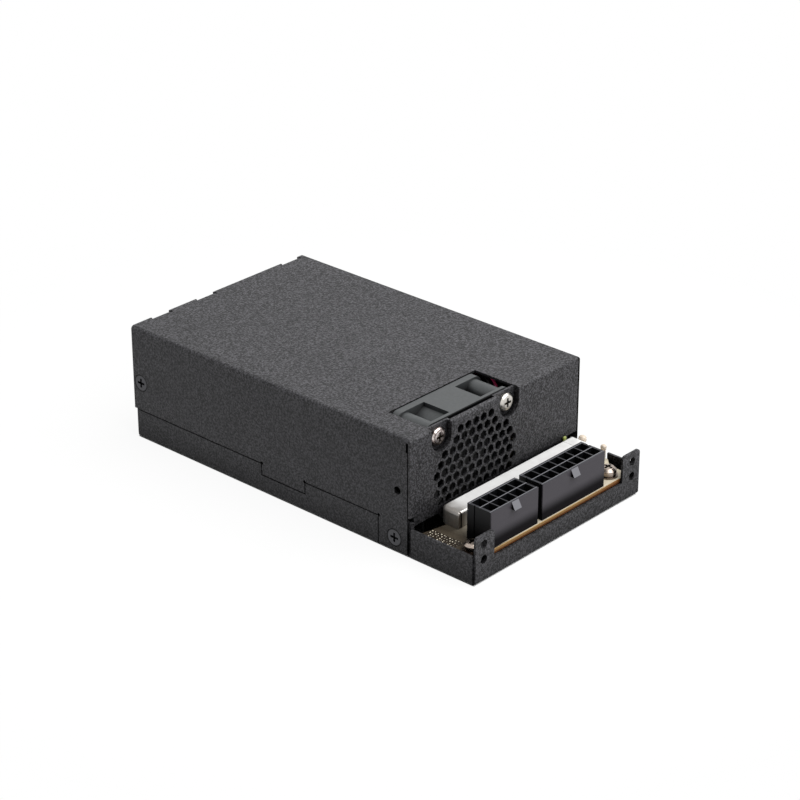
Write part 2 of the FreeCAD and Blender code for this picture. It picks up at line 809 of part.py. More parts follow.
# Tabs joggled inside the cover for its screws, return flanges of the rear plate and three hooks on its top.
lapped_tabs = []
for side, (sign, inward, outward) in SIDES.items():
    inner, outer = f"{sign}({LAPPED} - steel)", f"{sign}{LAPPED}"
    left, right = (outer, inner) if sign else (inner, outer)
    tab_start = f"{FACE} - seam" if sign else f"{FACE} + 2 * steel"
    lapped_tabs.append(
        box(
            f"front_tab_{side}", (left, tab_start, "steel / 2"),
            (right, f"{FOOT_END} - seam", "tab_plate_height"),
        )
    )
    lapped_tabs.append(
        box(
            f"return_flange_{side}", (left, f"{REAR} - return_flange_length", "return_flange_low"),
            (right, f"{REAR} - steel / 2", "case_height - return_flange_top"),
        )
    )
hooks = [
    box(
        f"rear_hook_{i}", (f"{x} - hook_width / 2 + seam", REAR_INNER, "case_height - 3 * steel"),
        (f"{x} + hook_width / 2 - seam", REAR, "case_height - hook_drop"),
    )
    for i, x in enumerate(HOOK_XS)
]
# Collars drawn behind the ears, where the holes are tapped.
ear_collars = [
    rod(
        f"ear_collar_{side}_{i}", "ear_hole_radius + ear_collar_wall", "ear_collar + steel / 2",
        f"{sign}({HALF} - ear_hole_inset)", f"{FRONT} + steel / 2",
        f"ear_hole_low + {i} * ear_hole_pitch", "+Y",
    )
    for side, (sign, inward, outward) in SIDES.items()
    for i in range(2)
]
chassis_sheet = fuse("chassis_sheet", tub_cut, *lapped_tabs, *hooks, *ear_collars)

# Openings of the chassis: under the fan, ear holes, mains inlet, mounting holes and the rear vent.
fan_floor = box(
    "floor_fan_window",
    (f"{FAN_X} - {FAN_SIZE} / 2 - fan_gap", f"{FAN_Y} - fan_gap", "-1"),
    (f"{FAN_X} + {FAN_SIZE} / 2 + fan_gap", f"{FAN_Y} + fan_depth + fan_gap", "2 * bend"),
)
ear_holes = []
mount_holes = []
for side, (sign, inward, outward) in SIDES.items():
    for i in range(2):
        ear_holes.append(
            rod(
                f"ear_hole_{side}_{i}", "ear_hole_radius", "3 * steel + ear_collar",
                f"{sign}({HALF} - ear_hole_inset)",
                f"{FRONT} - steel", f"ear_hole_low + {i} * ear_hole_pitch", "+Y",
            )
        )
    for i, z in enumerate(("mount_hole_edge", "case_height - mount_hole_edge")):
        mount_holes.append(
            rod(
                f"mount_hole_{side}_{i}", "mount_hole_radius", "3 * steel",
                f"{sign}({HALF} - mount_hole_inset)", f"{REAR} - 2 * steel", z, "+Y",
            )
        )


def inlet_outline(grow):
    """Oblong of the mains inlet with its two upper corners cut, grown all round."""
    right, left = f"(inlet_width / 2 + {grow})", f"(-inlet_width / 2 - {grow})"
    high, low = f"(inlet_height / 2 + {grow})", f"(-inlet_height / 2 - {grow})"
    corner = "inlet_corner"
    return [
        (left, low), (right, low), (right, f"{high} - {corner}"), (f"{right} - {corner}", high),
        (f"{left} + {corner}", high), (left, f"{high} - {corner}"),
    ]


inlet_hole = place(
    prism("inlet_hole", "Y", "-2 * steel", "4 * steel", inlet_outline("inlet_gap")), INLET_X, REAR, INLET_Z
)
inlet_screw_sinks = [
    cone(
        f"inlet_sink_{i}", "inlet_screw_head + screw_clearance", "inlet_screw_shank + screw_clearance",
        "inlet_screw_head - inlet_screw_shank",
        f"{INLET_X} {sign} inlet_screw_pitch / 2", REAR, INLET_Z, "-Y",
    )
    for i, sign in enumerate("-+")
]
vent_holes = []
for row in range(SIZES["vent_rows"]):
    for column in range(SIZES["vent_columns"]):
        step = column - (SIZES["vent_columns"] - 1) / 2 + 0.5 * (row % 2) - 0.25
        lift = row - (SIZES["vent_rows"] - 1) / 2
        vent_holes.append(
            hexagon(
                f"vent_{row}_{column}", "grille_hole", "3 * steel",
                f"vent_inset - {HALF} + {step} * grille_pitch", f"{REAR} - 2 * steel",
                f"case_height / 2 + {lift} * grille_pitch * sqrt(3) / 2",
            )
        )
rear_holes = [*mount_holes, inlet_hole, *inlet_screw_sinks, *vent_holes]
chassis_holes = group("chassis_holes", [fan_floor, *ear_holes, *rear_holes, *screw_sinks])
chassis_drilled = cut("chassis_drilled", chassis_sheet, chassis_holes)

# Rounded outer corners of the two ears.
ear_corners = []
for side, (sign, inward, outward) in SIDES.items():
    for end, place_x, back in (
        ("outer", f"({HALF} - tray_corner_gap - ear_round)", "+"),
        ("inner", f"({HALF} - tray_corner_gap - ear_width + ear_round)", "-"),
    ):
        centre = f"{sign}{place_x}"
        tip = f"{sign}({place_x} {back} ear_round {back} 1)"
        left, right = (tip, centre) if (sign == "-") == (back == "+") else (centre, tip)
        block = box(
            f"ear_block_{side}_{end}", (left, f"{FRONT} - 1", "ear_height - ear_round"),
            (right, f"{FRONT} + steel + seam / 8", "ear_height + 1"),
        )
        keep = rod(
            f"ear_keep_{side}_{end}", "ear_round", "4 * steel",
            centre, f"{FRONT} - 2", "ear_height - ear_round", "+Y",
        )
        ear_corners.append(cut(f"ear_corner_{side}_{end}", block, keep))
chassis_base = cut("chassis_base", chassis_drilled, group("ear_corners", ear_corners))


# Fan: each piece is drawn about its own axis, the intake side at zero, and set in the case by its placement.
def in_fan(item):
    return place(item, FAN_X, FAN_Y, FAN_Z, "+Y")


def upright_edges(edge, whole):
    return near(edge.ZMin, whole.ZMin) and near(edge.ZMax, whole.ZMax)


def fan_plate(name, start, thick):
    half = f"({FAN_SIZE} / 2)"
    plate = prism(name, "Z", start, thick, rectangle(f"-{half}", f"-{half}", half, half))
    return round_edges(plate, "fan_corner", upright_edges)


MIDDLE = ("front_rim", "fan_depth - rear_rim")
FAN_CORNERS = [(f"{x}{FAN_PITCH} / 2", f"{y}{FAN_PITCH} / 2") for x in ("", "-") for y in ("", "-")]
fan_blank = fuse(
    "fan_blank",
    fan_plate("fan_front_plate", "0", "front_rim"),
    fan_plate("fan_rear_plate", "fan_depth - rear_rim", "rear_rim"),
    rod("fan_duct", f"{DUCT_RADIUS} + duct_wall", "fan_depth", "0", "0", "0"),
    box("fan_pads_across", (f"-{FAN_SIZE} / 2", "-side_pad_width / 2", MIDDLE[0]),
        (f"{FAN_SIZE} / 2", "side_pad_width / 2", MIDDLE[1])),
    box("fan_pads_along", ("-side_pad_width / 2", f"-{FAN_SIZE} / 2", MIDDLE[0]),
        ("side_pad_width / 2", f"{FAN_SIZE} / 2", MIDDLE[1])),
    *[
        rod(f"fan_tube_{i}", "corner_tube", "fan_depth", x, y, "0")
        for i, (x, y) in enumerate(FAN_CORNERS)
    ],
)
fan_bores = group(
    "fan_bores",
    [
        rod("fan_bore", DUCT_RADIUS, "fan_depth + 2", "0", "0", "-1"),
        *[
            rod(f"fan_hole_{i}", "fan_hole_radius", "fan_depth + 2", x, y, "-1")
            for i, (x, y) in enumerate(FAN_CORNERS)
        ],
    ],
)
TUBE_START = "(hub_front + hub_wall + hub_boss_length + stator_gap)"
STRUT_START = "(fan_depth - strut_depth)"
STRUT_END = f"({DUCT_RADIUS} + duct_wall / 2)"
CUP_FLOOR = "(hub_front + hub_wall)"
fan_mount = cut(
    "fan_mount",
    fuse(
        "fan_mount_blank",
        rod("fan_hub_disc", "hub_radius", "strut_depth", "0", "0", STRUT_START),
        rod("fan_bearing_tube", "bearing_tube", f"fan_depth - {TUBE_START}", "0", "0", TUBE_START),
        box("fan_strut_across", (f"-{STRUT_END}", "-strut_width / 2", STRUT_START),
            (STRUT_END, "strut_width / 2", "fan_depth")),
        box("fan_strut_along", ("-strut_width / 2", f"-{STRUT_END}", STRUT_START),
            ("strut_width / 2", STRUT_END, "fan_depth")),
    ),
    rod("fan_bearing_seat", "bearing_radius + fit_gap", "bearing_length + fit_gap", "0", "0", TUBE_START),
    rod("fan_shaft_well", "shaft_radius + stator_gap", "shaft_length + stator_gap", "0", "0", CUP_FLOOR),
)
fan_frame = in_fan(fuse("fan_frame", cut("fan_open", fan_blank, fan_bores), fan_mount))

fan_bearing = in_fan(
    turned(
        "fan_bearing",
        rectangle("shaft_radius + shaft_clearance", f"{TUBE_START}", "bearing_radius",
                  f"{TUBE_START} + bearing_length"),
    )
)
fan_shaft = in_fan(
    turned("fan_shaft", rectangle("0", CUP_FLOOR, "shaft_radius", f"{CUP_FLOOR} + shaft_length"))
)

# Rotor: a cup over the motor with swept blades, each lofted from its root to its tip, and trimmed round.
rotor_blank = turned(
    "fan_rotor_blank",
    [
        ("0", "hub_front"), ("hub_radius", "hub_front"), ("hub_radius", "hub_front + hub_length"),
        ("hub_radius - hub_wall", "hub_front + hub_length"), ("hub_radius - hub_wall", CUP_FLOOR),
        ("hub_boss", CUP_FLOOR), ("hub_boss", f"{CUP_FLOOR} + hub_boss_length"),
        ("shaft_radius + fit_gap / 2", f"{CUP_FLOOR} + hub_boss_length"),
        ("shaft_radius + fit_gap / 2", CUP_FLOOR), ("0", CUP_FLOOR),
    ],
)


def blade_section(radius, reach):
    """Blade cut square to its radius: a bent strip that leads at the intake edge and trails behind."""
    sketch = new_sketch(rotor_blank, "X", radius)
    middle = "(hub_front + hub_length / 2)"
    draw(
        sketch,
        [
            (f"-{reach} - blade_thickness / 2", f"{middle} - blade_length / 2"),
            (f"-{reach} + blade_thickness / 2", f"{middle} - blade_length / 2"),
            (f"{reach} * 0.3 + blade_thickness / 2", f"{middle} + blade_length / 6"),
            (f"{reach} + blade_thickness / 2", f"{middle} + blade_length / 2"),
            (f"{reach} - blade_thickness / 2", f"{middle} + blade_length / 2"),
            (f"{reach} * 0.3 - blade_thickness / 2", f"{middle} + blade_length / 6"),
        ],
    )
    return sketch


blade = rotor_blank.newObject("PartDesign::AdditiveLoft", "fan_blade")
blade.Profile = blade_section("hub_radius - 0.85 * hub_wall", "blade_root_reach")
blade.Sections = [blade_section(DUCT_RADIUS, "blade_tip_reach")]
blade.Ruled = True
blades = rotor_blank.newObject("PartDesign::PolarPattern", "fan_blades")
blades.Originals = [blade]
blades.Axis = (next(a for a in rotor_blank.Origin.OriginFeatures if a.Role == "Z_Axis"), [""])
blades.Angle = 360
blades.Occurrences = SIZES["blade_count"]
rotor_blank.Tip = blades
swept_circle = rod("fan_swept_circle", f"{DUCT_RADIUS} - blade_tip_gap", "fan_depth", "0", "0", "0")
fan_rotor = in_fan(common("fan_rotor", rotor_blank, swept_circle))

MAGNET_OUTER = "(hub_radius - hub_wall - fit_gap)"
MAGNET_INNER = f"({MAGNET_OUTER} - magnet_wall)"
MAGNET_START = "(hub_front + hub_wall + hub_boss_length)"
fan_magnet = in_fan(
    turned(
        "fan_magnet",
        rectangle(MAGNET_INNER, MAGNET_START, MAGNET_OUTER, f"{MAGNET_START} + magnet_length"),
    )
)

# Stator: a ring on the bearing tube with four arms and pole shoes, and a coil on each arm.
POLE = f"({MAGNET_INNER} - stator_gap)"
STATOR_LOW = f"({MAGNET_START} + magnet_length / 2 - stator_height / 2)"
STATOR_HIGH = f"({MAGNET_START} + magnet_length / 2 + stator_height / 2)"


def cross_bars(name, half_width, start, end):
    return fuse(
        name,
        box(f"{name}_across", (f"-{POLE}", f"-{half_width}", start), (POLE, half_width, end)),
        box(f"{name}_along", (f"-{half_width}", f"-{POLE}", start), (half_width, POLE, end)),
    )


pole_ring = turned("pole_ring", rectangle(f"{POLE} - stator_shoe", STATOR_LOW, POLE, STATOR_HIGH))
stator_core = turned(
    "stator_core",
    rectangle("bearing_tube + fit_gap", STATOR_LOW, "bearing_tube + stator_ring", STATOR_HIGH),
)
stator_arms = common(
    "stator_arms",
    cross_bars("stator_cross", "stator_arm / 2", STATOR_LOW, STATOR_HIGH),
    turned(
        "stator_reach",
        rectangle("bearing_tube + fit_gap", STATOR_LOW, f"{POLE} - stator_shoe / 2", STATOR_HIGH),
    ),
)
pole_shoes = common(
    "pole_shoes", pole_ring, cross_bars("shoe_cross", "stator_shoe_width / 2", STATOR_LOW, STATOR_HIGH)
)
fan_stator = in_fan(fuse("fan_stator", stator_core, stator_arms, pole_shoes))

# A coil ends where its corners would meet the inside of the pole shoe.
COIL_END = f"sqrt(({POLE} - stator_shoe - 4 * fit_gap) ^ 2 - coil_width ^ 2 / 4)"
coils = []
for turn in range(4):
    coil = cut(
        f"fan_coil_{turn}",
        box(
            f"coil_block_{turn}",
            ("bearing_tube + stator_ring + fit_gap", "-coil_width / 2", f"{STATOR_LOW} - coil_overhang"),
            (COIL_END, "coil_width / 2", f"{STATOR_HIGH} + coil_overhang"),
        ),
        box(
            f"coil_arm_{turn}", ("0", "-stator_arm / 2 - fit_gap", f"{STATOR_LOW} - fit_gap"),
            (POLE, "stator_arm / 2 + fit_gap", f"{STATOR_HIGH} + fit_gap"),
        ),
    )
    coil.Placement = FreeCAD.Placement(Vector(), Rotation(Vector(0, 0, 1), 90 * turn))
    coils.append(coil)
fan_windings = in_fan(group("fan_windings", coils))

fan_screws = group(
    "fan_screws",
    [
        place(
            pan_screw(f"fan_screw_{side}", "fan_screw_head", "fan_screw_head_height", "fan_screw_shank",
                      "fan_screw_length"),
            x, f"{FACE} + pocket_depth", SCREW_Z, "-Y",
        )
        for side, x in SCREW_XS.items()
    ],
)

# Connector board: wide in the tray, notched behind the ears and by the bus bar, with a tongue past the fan.
MAIN_FRONT = f"({FAN_Y} + fan_depth + plenum)"
BOARD_LEFT = f"(board_left - {HALF})"
TONGUE_LEFT = f"({FAN_X} + {FAN_SIZE} / 2 + tongue_gap)"
BOARD_RIGHT_FRONT = f"({HALF} - board_right_front)"
BOARD_RIGHT_REAR = f"({HALF} - board_right_rear)"
BOARD_FRONT = f"({FRONT} + board_front)"
BOARD_REAR = f"({FACE} + board_past_face)"
NOTCH_RIGHT = f"(ear_hole_inset + ear_hole_radius + 2 * ear_collar_wall - {HALF})"
BAR_LEFT = f"(bar_left - {HALF})"
BAR_REAR = f"({FACE} - bar_rear)"
board_blank = prism(
    "connector_board_blank", "Z", "board_level", "board_thick",
    [
        (BOARD_LEFT, f"{BOARD_FRONT} + board_notch"), (NOTCH_RIGHT, f"{BOARD_FRONT} + board_notch"),
        (NOTCH_RIGHT, BOARD_FRONT), (f"{BOARD_RIGHT_FRONT} - board_chamfer", BOARD_FRONT),
        (BOARD_RIGHT_FRONT, f"{BOARD_FRONT} + board_chamfer"),
        (BOARD_RIGHT_FRONT, f"{FRONT} + board_step"),
        (BOARD_RIGHT_REAR, f"{FRONT} + board_step + board_right_front - board_right_rear"),
        (BOARD_RIGHT_REAR, BOARD_REAR), (BOARD_RIGHT_FRONT, BOARD_REAR),
        (BOARD_RIGHT_FRONT, f"{MAIN_FRONT} - board_split"), (TONGUE_LEFT, f"{MAIN_FRONT} - board_split"),
        (TONGUE_LEFT, BOARD_REAR), (f"{BAR_LEFT} + 2 * bar_corner", BOARD_REAR),
        (f"{BAR_LEFT} + bar_corner", BAR_REAR), (BAR_LEFT, f"{FACE} - board_rear_cut"),
        (BOARD_LEFT, f"{FACE} - board_rear_cut / 2"),
    ],
)
BOARD_SCREWS = {
    "left": f"(board_screw_left - {HALF})",
    "right": f"({HALF} - board_screw_right)",
}
BOARD_SCREW_Y = f"({FRONT} + board_screw_front)"
SHANK_HOLE = "(board_screw_shank + screw_clearance)"

# Sockets: name, number of columns, middle and width. The large one has as many columns as fit between the
# small one and the washer of the right screw.
SOCKET_DEPTH = "(2 * socket_pitch + 2 * socket_rim)"
SOCKET_Y = f"({FRONT} + socket_front + socket_pitch + socket_rim)"
small_columns = round(SIZES["socket_small"])
SMALL_WIDTH = "(round(socket_small) * socket_pitch + 2 * socket_rim)"
left_of_large = SIZES["socket_left"] + small_columns * SIZES["socket_pitch"] + SIZES["socket_gap"]
right_of_large = SIZES["board_screw_right"] + SIZES["washer_radius"]
free_width = SIZES["case_width"] - left_of_large - right_of_large - 4 * SIZES["socket_rim"]
large_columns = math.floor(free_width / SIZES["socket_pitch"])
LARGE_WIDTH = f"({large_columns} * socket_pitch + 2 * socket_rim)"
LARGE_LEFT = f"(socket_left - {HALF} + {SMALL_WIDTH} + socket_gap)"
SOCKETS = {
    "header_10": (small_columns, f"(socket_left - {HALF} + {SMALL_WIDTH} / 2)", SMALL_WIDTH),
    "header_14": (large_columns, f"({LARGE_LEFT} + {LARGE_WIDTH} / 2)", LARGE_WIDTH),
}


def cells(count):
    """Centres of a socket's cells from its middle, as expressions."""
    for column in range(count):
        for line in (-0.5, 0.5):
            yield f"({column - (count - 1) / 2} * socket_pitch)", f"({line} * socket_pitch)"


def square_posts(name, places, half, start, end):
    return [
        box(f"{name}_{i}", (f"{x} - {half}", f"{y} - {half}", start), (f"{x} + {half}", f"{y} + {half}", end))
        for i, (x, y) in enumerate(places)
    ]


def socket_body(name, count, width):
    """Moulded socket on its own base: square cells, a latch ramp in front and a groove in each end."""
    half = f"({width} / 2)"
    block = box(
        f"{name}_block", (f"-{half}", f"-{SOCKET_DEPTH} / 2", "0"),
        (half, f"{SOCKET_DEPTH} / 2", "socket_height"),
    )
    ramp = prism(
        f"{name}_latch", "X", "-latch_width / 2", "latch_width",
        [
            (f"-{SOCKET_DEPTH} / 2 + socket_rim / 2", "socket_height - latch_drop"),
            (f"-{SOCKET_DEPTH} / 2", "socket_height - latch_drop"),
            (f"-{SOCKET_DEPTH} / 2 - latch_reach", "socket_height - latch_drop - latch_height"),
            (f"-{SOCKET_DEPTH} / 2 + socket_rim / 2", "socket_height - latch_drop - latch_height"),
        ],
    )
    cell_half = "(socket_pitch / 2 - socket_wall / 2)"
    hollows = square_posts(f"{name}_cell", cells(count), cell_half, "socket_floor", "socket_height + 1")
    slots = square_posts(f"{name}_slot", cells(count), "(pin_side / 2 + fit_gap)", "-1", "socket_floor + 0.1")
    grooves = []
    for side, (sign, inward, outward) in SIDES.items():
        inner, outer = f"{sign}({half} - end_groove_depth)", f"{sign}({half} + 1)"
        left, right = (outer, inner) if sign else (inner, outer)
        back = f"({SOCKET_DEPTH} / 2 - end_groove_inset)"
        grooves.append(
            box(
                f"{name}_groove_{side}", (left, f"{back} - end_groove_width", "-1"),
                (right, back, "socket_height + 1"),
            )
        )
    solid = fuse(f"{name}_solid", block, ramp)
    hollow = cut(f"{name}_hollow", solid, group(f"{name}_cells", [*hollows, *grooves]))
    return cut(name, hollow, group(f"{name}_slots", slots))


socket_nodes = []
pin_holes = []
for name, (count, x, width) in SOCKETS.items():
    socket_nodes.append(place(socket_body(name, count, width), x, SOCKET_Y, BOARD_TOP))
    pins = square_posts(
        f"{name}_pin", cells(count), "(pin_side / 2)", "-board_thick - pin_tail / 2",
        "socket_floor + pin_height",
    )
    socket_nodes.append(place(group(f"{name}_pins", pins), x, SOCKET_Y, BOARD_TOP))
    holes = square_posts(
        f"{name}_hole", cells(count), "(pin_side / 2 + fit_gap)", "-2 * board_thick", "board_thick"
    )
    pin_holes.append(place(group(f"{name}_holes", holes), x, SOCKET_Y, BOARD_TOP))

board_screw_holes = [
    rod(f"board_hole_{side}", SHANK_HOLE, "3 * board_thick", x, BOARD_SCREW_Y, "board_level - board_thick")
    for side, x in BOARD_SCREWS.items()
]
connector_holes = group("connector_board_holes", [*pin_holes, *board_screw_holes])
connector_board = cut("connector_board", board_blank, connector_holes)

# Pan-head screws with a spring washer and a flat washer each, on round standoffs.
board_screws = []
board_washers = []
tray_standoffs = []
for side, x in BOARD_SCREWS.items():
    screw = pan_screw(
        f"board_screw_{side}", "board_screw_head", "board_screw_head_height", "board_screw_shank",
        "board_screw_length + washer_thick + spring_washer_thick",
    )
    board_screws.append(place(screw, x, BOARD_SCREW_Y, f"{BOARD_TOP} + washer_thick + spring_washer_thick"))
    flat = ring(f"flat_washer_{side}", "washer_radius", SHANK_HOLE, "washer_thick")
    board_washers.append(place(flat, x, BOARD_SCREW_Y, BOARD_TOP))
    spring = cut(
        f"spring_washer_{side}",
        ring(f"spring_ring_{side}", "spring_washer_radius", SHANK_HOLE, "spring_washer_thick"),
        box(f"spring_split_{side}", ("0", "-spring_washer_split / 2", "-1"),
            ("2 * spring_washer_radius", "spring_washer_split / 2", "2 * spring_washer_thick")),
    )
    board_washers.append(place(spring, x, BOARD_SCREW_Y, f"{BOARD_TOP} + washer_thick"))
    post = ring(f"tray_post_{side}", "standoff_radius", SHANK_HOLE, "board_level - steel")
    tray_standoffs.append(place(post, x, BOARD_SCREW_Y, "steel"))
board_screw_set = group("board_screws", board_screws)
board_washer_set = group("board_washers", board_washers)
tray_standoff_set = group("tray_standoffs", tray_standoffs)

# Bus bar: an upturned tray of tinned sheet, slit at its front left corner and lapped near its right end.
BAR_RIGHT = f"({HALF} - bar_right)"
BAR_FRONT = f"({FACE} - bar_rear - bar_depth)"


def bar_corner_edge(edge, whole):
    """The upright edge at the rear left."""
    return near(edge.XMax, whole.XMin) and near(edge.YMin, whole.YMax)


def bar_top_edges(edge, whole):
    return near(edge.ZMin, whole.ZMax)


bar_outside = prism(
    "bar_outside", "Z", BOARD_TOP, "bar_height", rectangle(BAR_LEFT, BAR_FRONT, BAR_RIGHT, BAR_REAR)
)
round_edges(bar_outside, "bar_corner", bar_corner_edge)
round_edges(bar_outside, "bar_round", bar_top_edges)
bar_inside = prism(
    "bar_inside", "Z", f"{BOARD_TOP} - 1", "bar_height + 1 - bar_metal",
    rectangle(
        f"{BAR_LEFT} + bar_metal", f"{BAR_FRONT} + bar_metal",
        f"{BAR_RIGHT} - bar_metal", f"{BAR_REAR} - bar_metal",
    ),
)
round_edges(bar_inside, "bar_corner - bar_metal", bar_corner_edge)
bar_slit = box(
    "bar_slit", (f"{BAR_LEFT} + bar_metal + bar_slit", f"{BAR_FRONT} - 1", "board_level"),
    (f"{BAR_LEFT} + bar_metal + 2 * bar_slit", f"{BAR_FRONT} + bar_metal * 1.5", f"{BAR_TOP} - bar_round"),
)
bar_fold = box(
    "bar_fold", (f"{BAR_RIGHT} - bar_fold", f"{BAR_FRONT} - 1", f"{BAR_TOP} - bar_metal / 2"),
    (f"{BAR_RIGHT} - bar_fold + bar_fold_width", f"{BAR_REAR} + 1", f"{BAR_TOP} + 1"),
)
bus_bar = cut("bus_bar", bar_outside, bar_inside, bar_slit, bar_fold)

# Dipped capacitors at the board's right edge, a thermistor bead by the fan face, solder at the left edge.
discs = []
for i, y in enumerate(("disc_front", "disc_rear")):
    x = f"({HALF} - disc_inset)"
    middle = f"({BOARD_TOP} + disc_lift + disc_radius)"
    lead_low = f"({FRONT} + {y} - disc_radius / 2)"
    lead_high = f"({FRONT} + {y} + disc_radius / 2)"
    discs.append(
        fuse(
            f"disc_{i}",
            rod(f"disc_body_{i}", "disc_radius", "disc_thick",
                f"{x} - disc_thick / 2", f"{FRONT} + {y}", middle, "+X"),
            rod(f"disc_lead_{i}_0", "disc_lead", f"{middle} - {BOARD_TOP}", x, lead_low, BOARD_TOP),
            rod(f"disc_lead_{i}_1", "disc_lead", f"{middle} - {BOARD_TOP}", x, lead_high, BOARD_TOP),
        )
    )
dipped_capacitors = group("dipped_capacitors", discs)
BEAD_X = f"({HALF} - bead_right)"
BEAD_Y = f"({FACE} - bead_rear)"
thermistor = fuse(
    "thermistor",
    rod("bead_body", "bead_radius", "bead_thick", BEAD_X, f"{BEAD_Y} - bead_thick / 2",
        f"{BOARD_TOP} + bead_lift + bead_radius", "+Y"),
    *[
        rod(f"bead_lead_{i}", "disc_lead", "bead_lift + bead_radius",
            f"{BEAD_X} {sign} bead_radius / 2", BEAD_Y, BOARD_TOP)
        for i, sign in enumerate("-+")
    ],
)
solder_strip = box(
    "solder_strip", (f"{BOARD_LEFT} + solder_inset", f"{FACE} - solder_rear - solder_length", BOARD_TOP),
    (f"{BOARD_LEFT} + solder_inset + solder_width", f"{FACE} - solder_rear", f"{BOARD_TOP} + solder_thick"),
)

# Main board on four posts over an insulating film, joined to the connector board by straps.
MAIN_HALF = f"({HALF} - main_side)"
MAIN_REAR = f"({REAR} - main_rear)"
STUD_XS = [f"(stud_inset_x - {MAIN_HALF})", f"({MAIN_HALF} - stud_inset_x)"]
STUD_YS = [f"({MAIN_FRONT} + stud_inset_y)", f"({MAIN_REAR} - stud_inset_y)"]
STUDS = [(x, y) for x in STUD_XS for y in STUD_YS]
main_board = cut(
    "main_board",
    box("main_board_blank", (f"-{MAIN_HALF}", MAIN_FRONT, "board_level"), (MAIN_HALF, MAIN_REAR, BOARD_TOP)),
    group(
        "main_board_holes",
        [
            rod(f"main_hole_{i}", SHANK_HOLE, "3 * board_thick", x, y, "board_level - board_thick")
            for i, (x, y) in enumerate(STUDS)
        ],
    ),
)
main_standoffs = group(
    "main_standoffs",
    [
        place(
            ring(f"main_post_{i}", "standoff_radius", SHANK_HOLE, "board_level - steel"), x, y, "steel"
        )
        for i, (x, y) in enumerate(STUDS)
    ],
)
main_screws = group(
    "main_board_screws",
    [
        place(
            pan_screw(f"main_screw_{i}", "board_screw_head", "board_screw_head_height", "board_screw_shank",
                      "board_screw_length"),
            x, y, BOARD_TOP,
        )
        for i, (x, y) in enumerate(STUDS)
    ],
)
insulating_sheet = cut(
    "insulating_sheet",
    box(
        "film_blank", (f"film_margin - {MAIN_HALF}", f"{MAIN_FRONT} + film_margin", "steel"),
        (f"{MAIN_HALF} - film_margin", f"{MAIN_REAR} - film_margin", "steel + film_thick"),
    ),
    group(
        "film_holes",
        [
            rod(f"film_hole_{i}", "standoff_radius + lap_gap", "4 * steel", x, y, "0")
            for i, (x, y) in enumerate(STUDS)
        ],
    ),
)
links = []
for i in range(SIZES["link_count"]):
    x = f"({TONGUE_LEFT} + ({BOARD_RIGHT_FRONT} - {TONGUE_LEFT}) * ({i} + 0.5) / link_count)"
    middle = f"({MAIN_FRONT} - board_split / 2)"
    links.append(
        box(
            f"board_link_{i}", (f"{x} - link_width / 2", f"{middle} - link_length / 2", BOARD_TOP),
            (f"{x} + link_width / 2", f"{middle} + link_length / 2", f"{BOARD_TOP} + link_thick"),
        )
    )
board_links = group("board_links", links)

# Mains inlet: a moulded socket behind the rear plate, blades whose tails stand on the main board, two screws.
INLET_FLOOR = "(inlet_floor - inlet_depth)"
PLATE_BACK = "(-steel)"


inlet_shell = fuse(
    "inlet_shell",
    prism("inlet_barrel", "Y", "-inlet_depth", "inlet_depth", inlet_outline("0")),
    prism(
        "inlet_flange", "Y", f"{PLATE_BACK} - inlet_flange_thick", "inlet_flange_thick",
        rectangle("-inlet_flange_width / 2", "-inlet_flange_height / 2", "inlet_flange_width / 2",
                  "inlet_flange_height / 2"),
    ),
)
BLADES = {
    "line": ("(-blade_pin_spacing)", "(-blade_pin_rise)"),
    "neutral": ("blade_pin_spacing", "(-blade_pin_rise)"),
    "earth": ("0", "blade_pin_rise"),
}


def blade_block(name, x, z, grow, start, end):
    half_thick = f"(blade_pin_thick / 2 + {grow})"
    half_width = f"(blade_pin_width / 2 + {grow})"
    low = (f"{x} - {half_thick}", start, f"{z} - {half_width}")
    high = (f"{x} + {half_thick}", end, f"{z} + {half_width}")
    return box(name, low, high)


inlet_cuts = [prism("inlet_cavity", "Y", INLET_FLOOR, "inlet_depth", inlet_outline("(-inlet_wall)"))]
for name, (x, z) in BLADES.items():
    inlet_cuts.append(
        blade_block(f"inlet_slot_{name}", x, z, "fit_gap", "-inlet_depth - 1", f"{INLET_FLOOR} + 0.1")
    )
for i, sign in enumerate(("-", "")):
    inlet_cuts.append(
        rod(
            f"inlet_tap_{i}", "inlet_screw_shank + screw_clearance", "inlet_screw_length",
            f"{sign}inlet_screw_pitch / 2", "0", "0", "-Y",
        )
    )
    inlet_cuts.append(
        cone(
            f"inlet_dish_{i}", "inlet_screw_head + screw_clearance", "inlet_screw_shank + screw_clearance",
            "inlet_screw_head - inlet_screw_shank", f"{sign}inlet_screw_pitch / 2", "0", "0", "-Y",
        )
    )


def at_inlet(item):
    return place(item, INLET_X, REAR, INLET_Z)


inlet_body = at_inlet(cut("inlet_body", inlet_shell, *inlet_cuts))

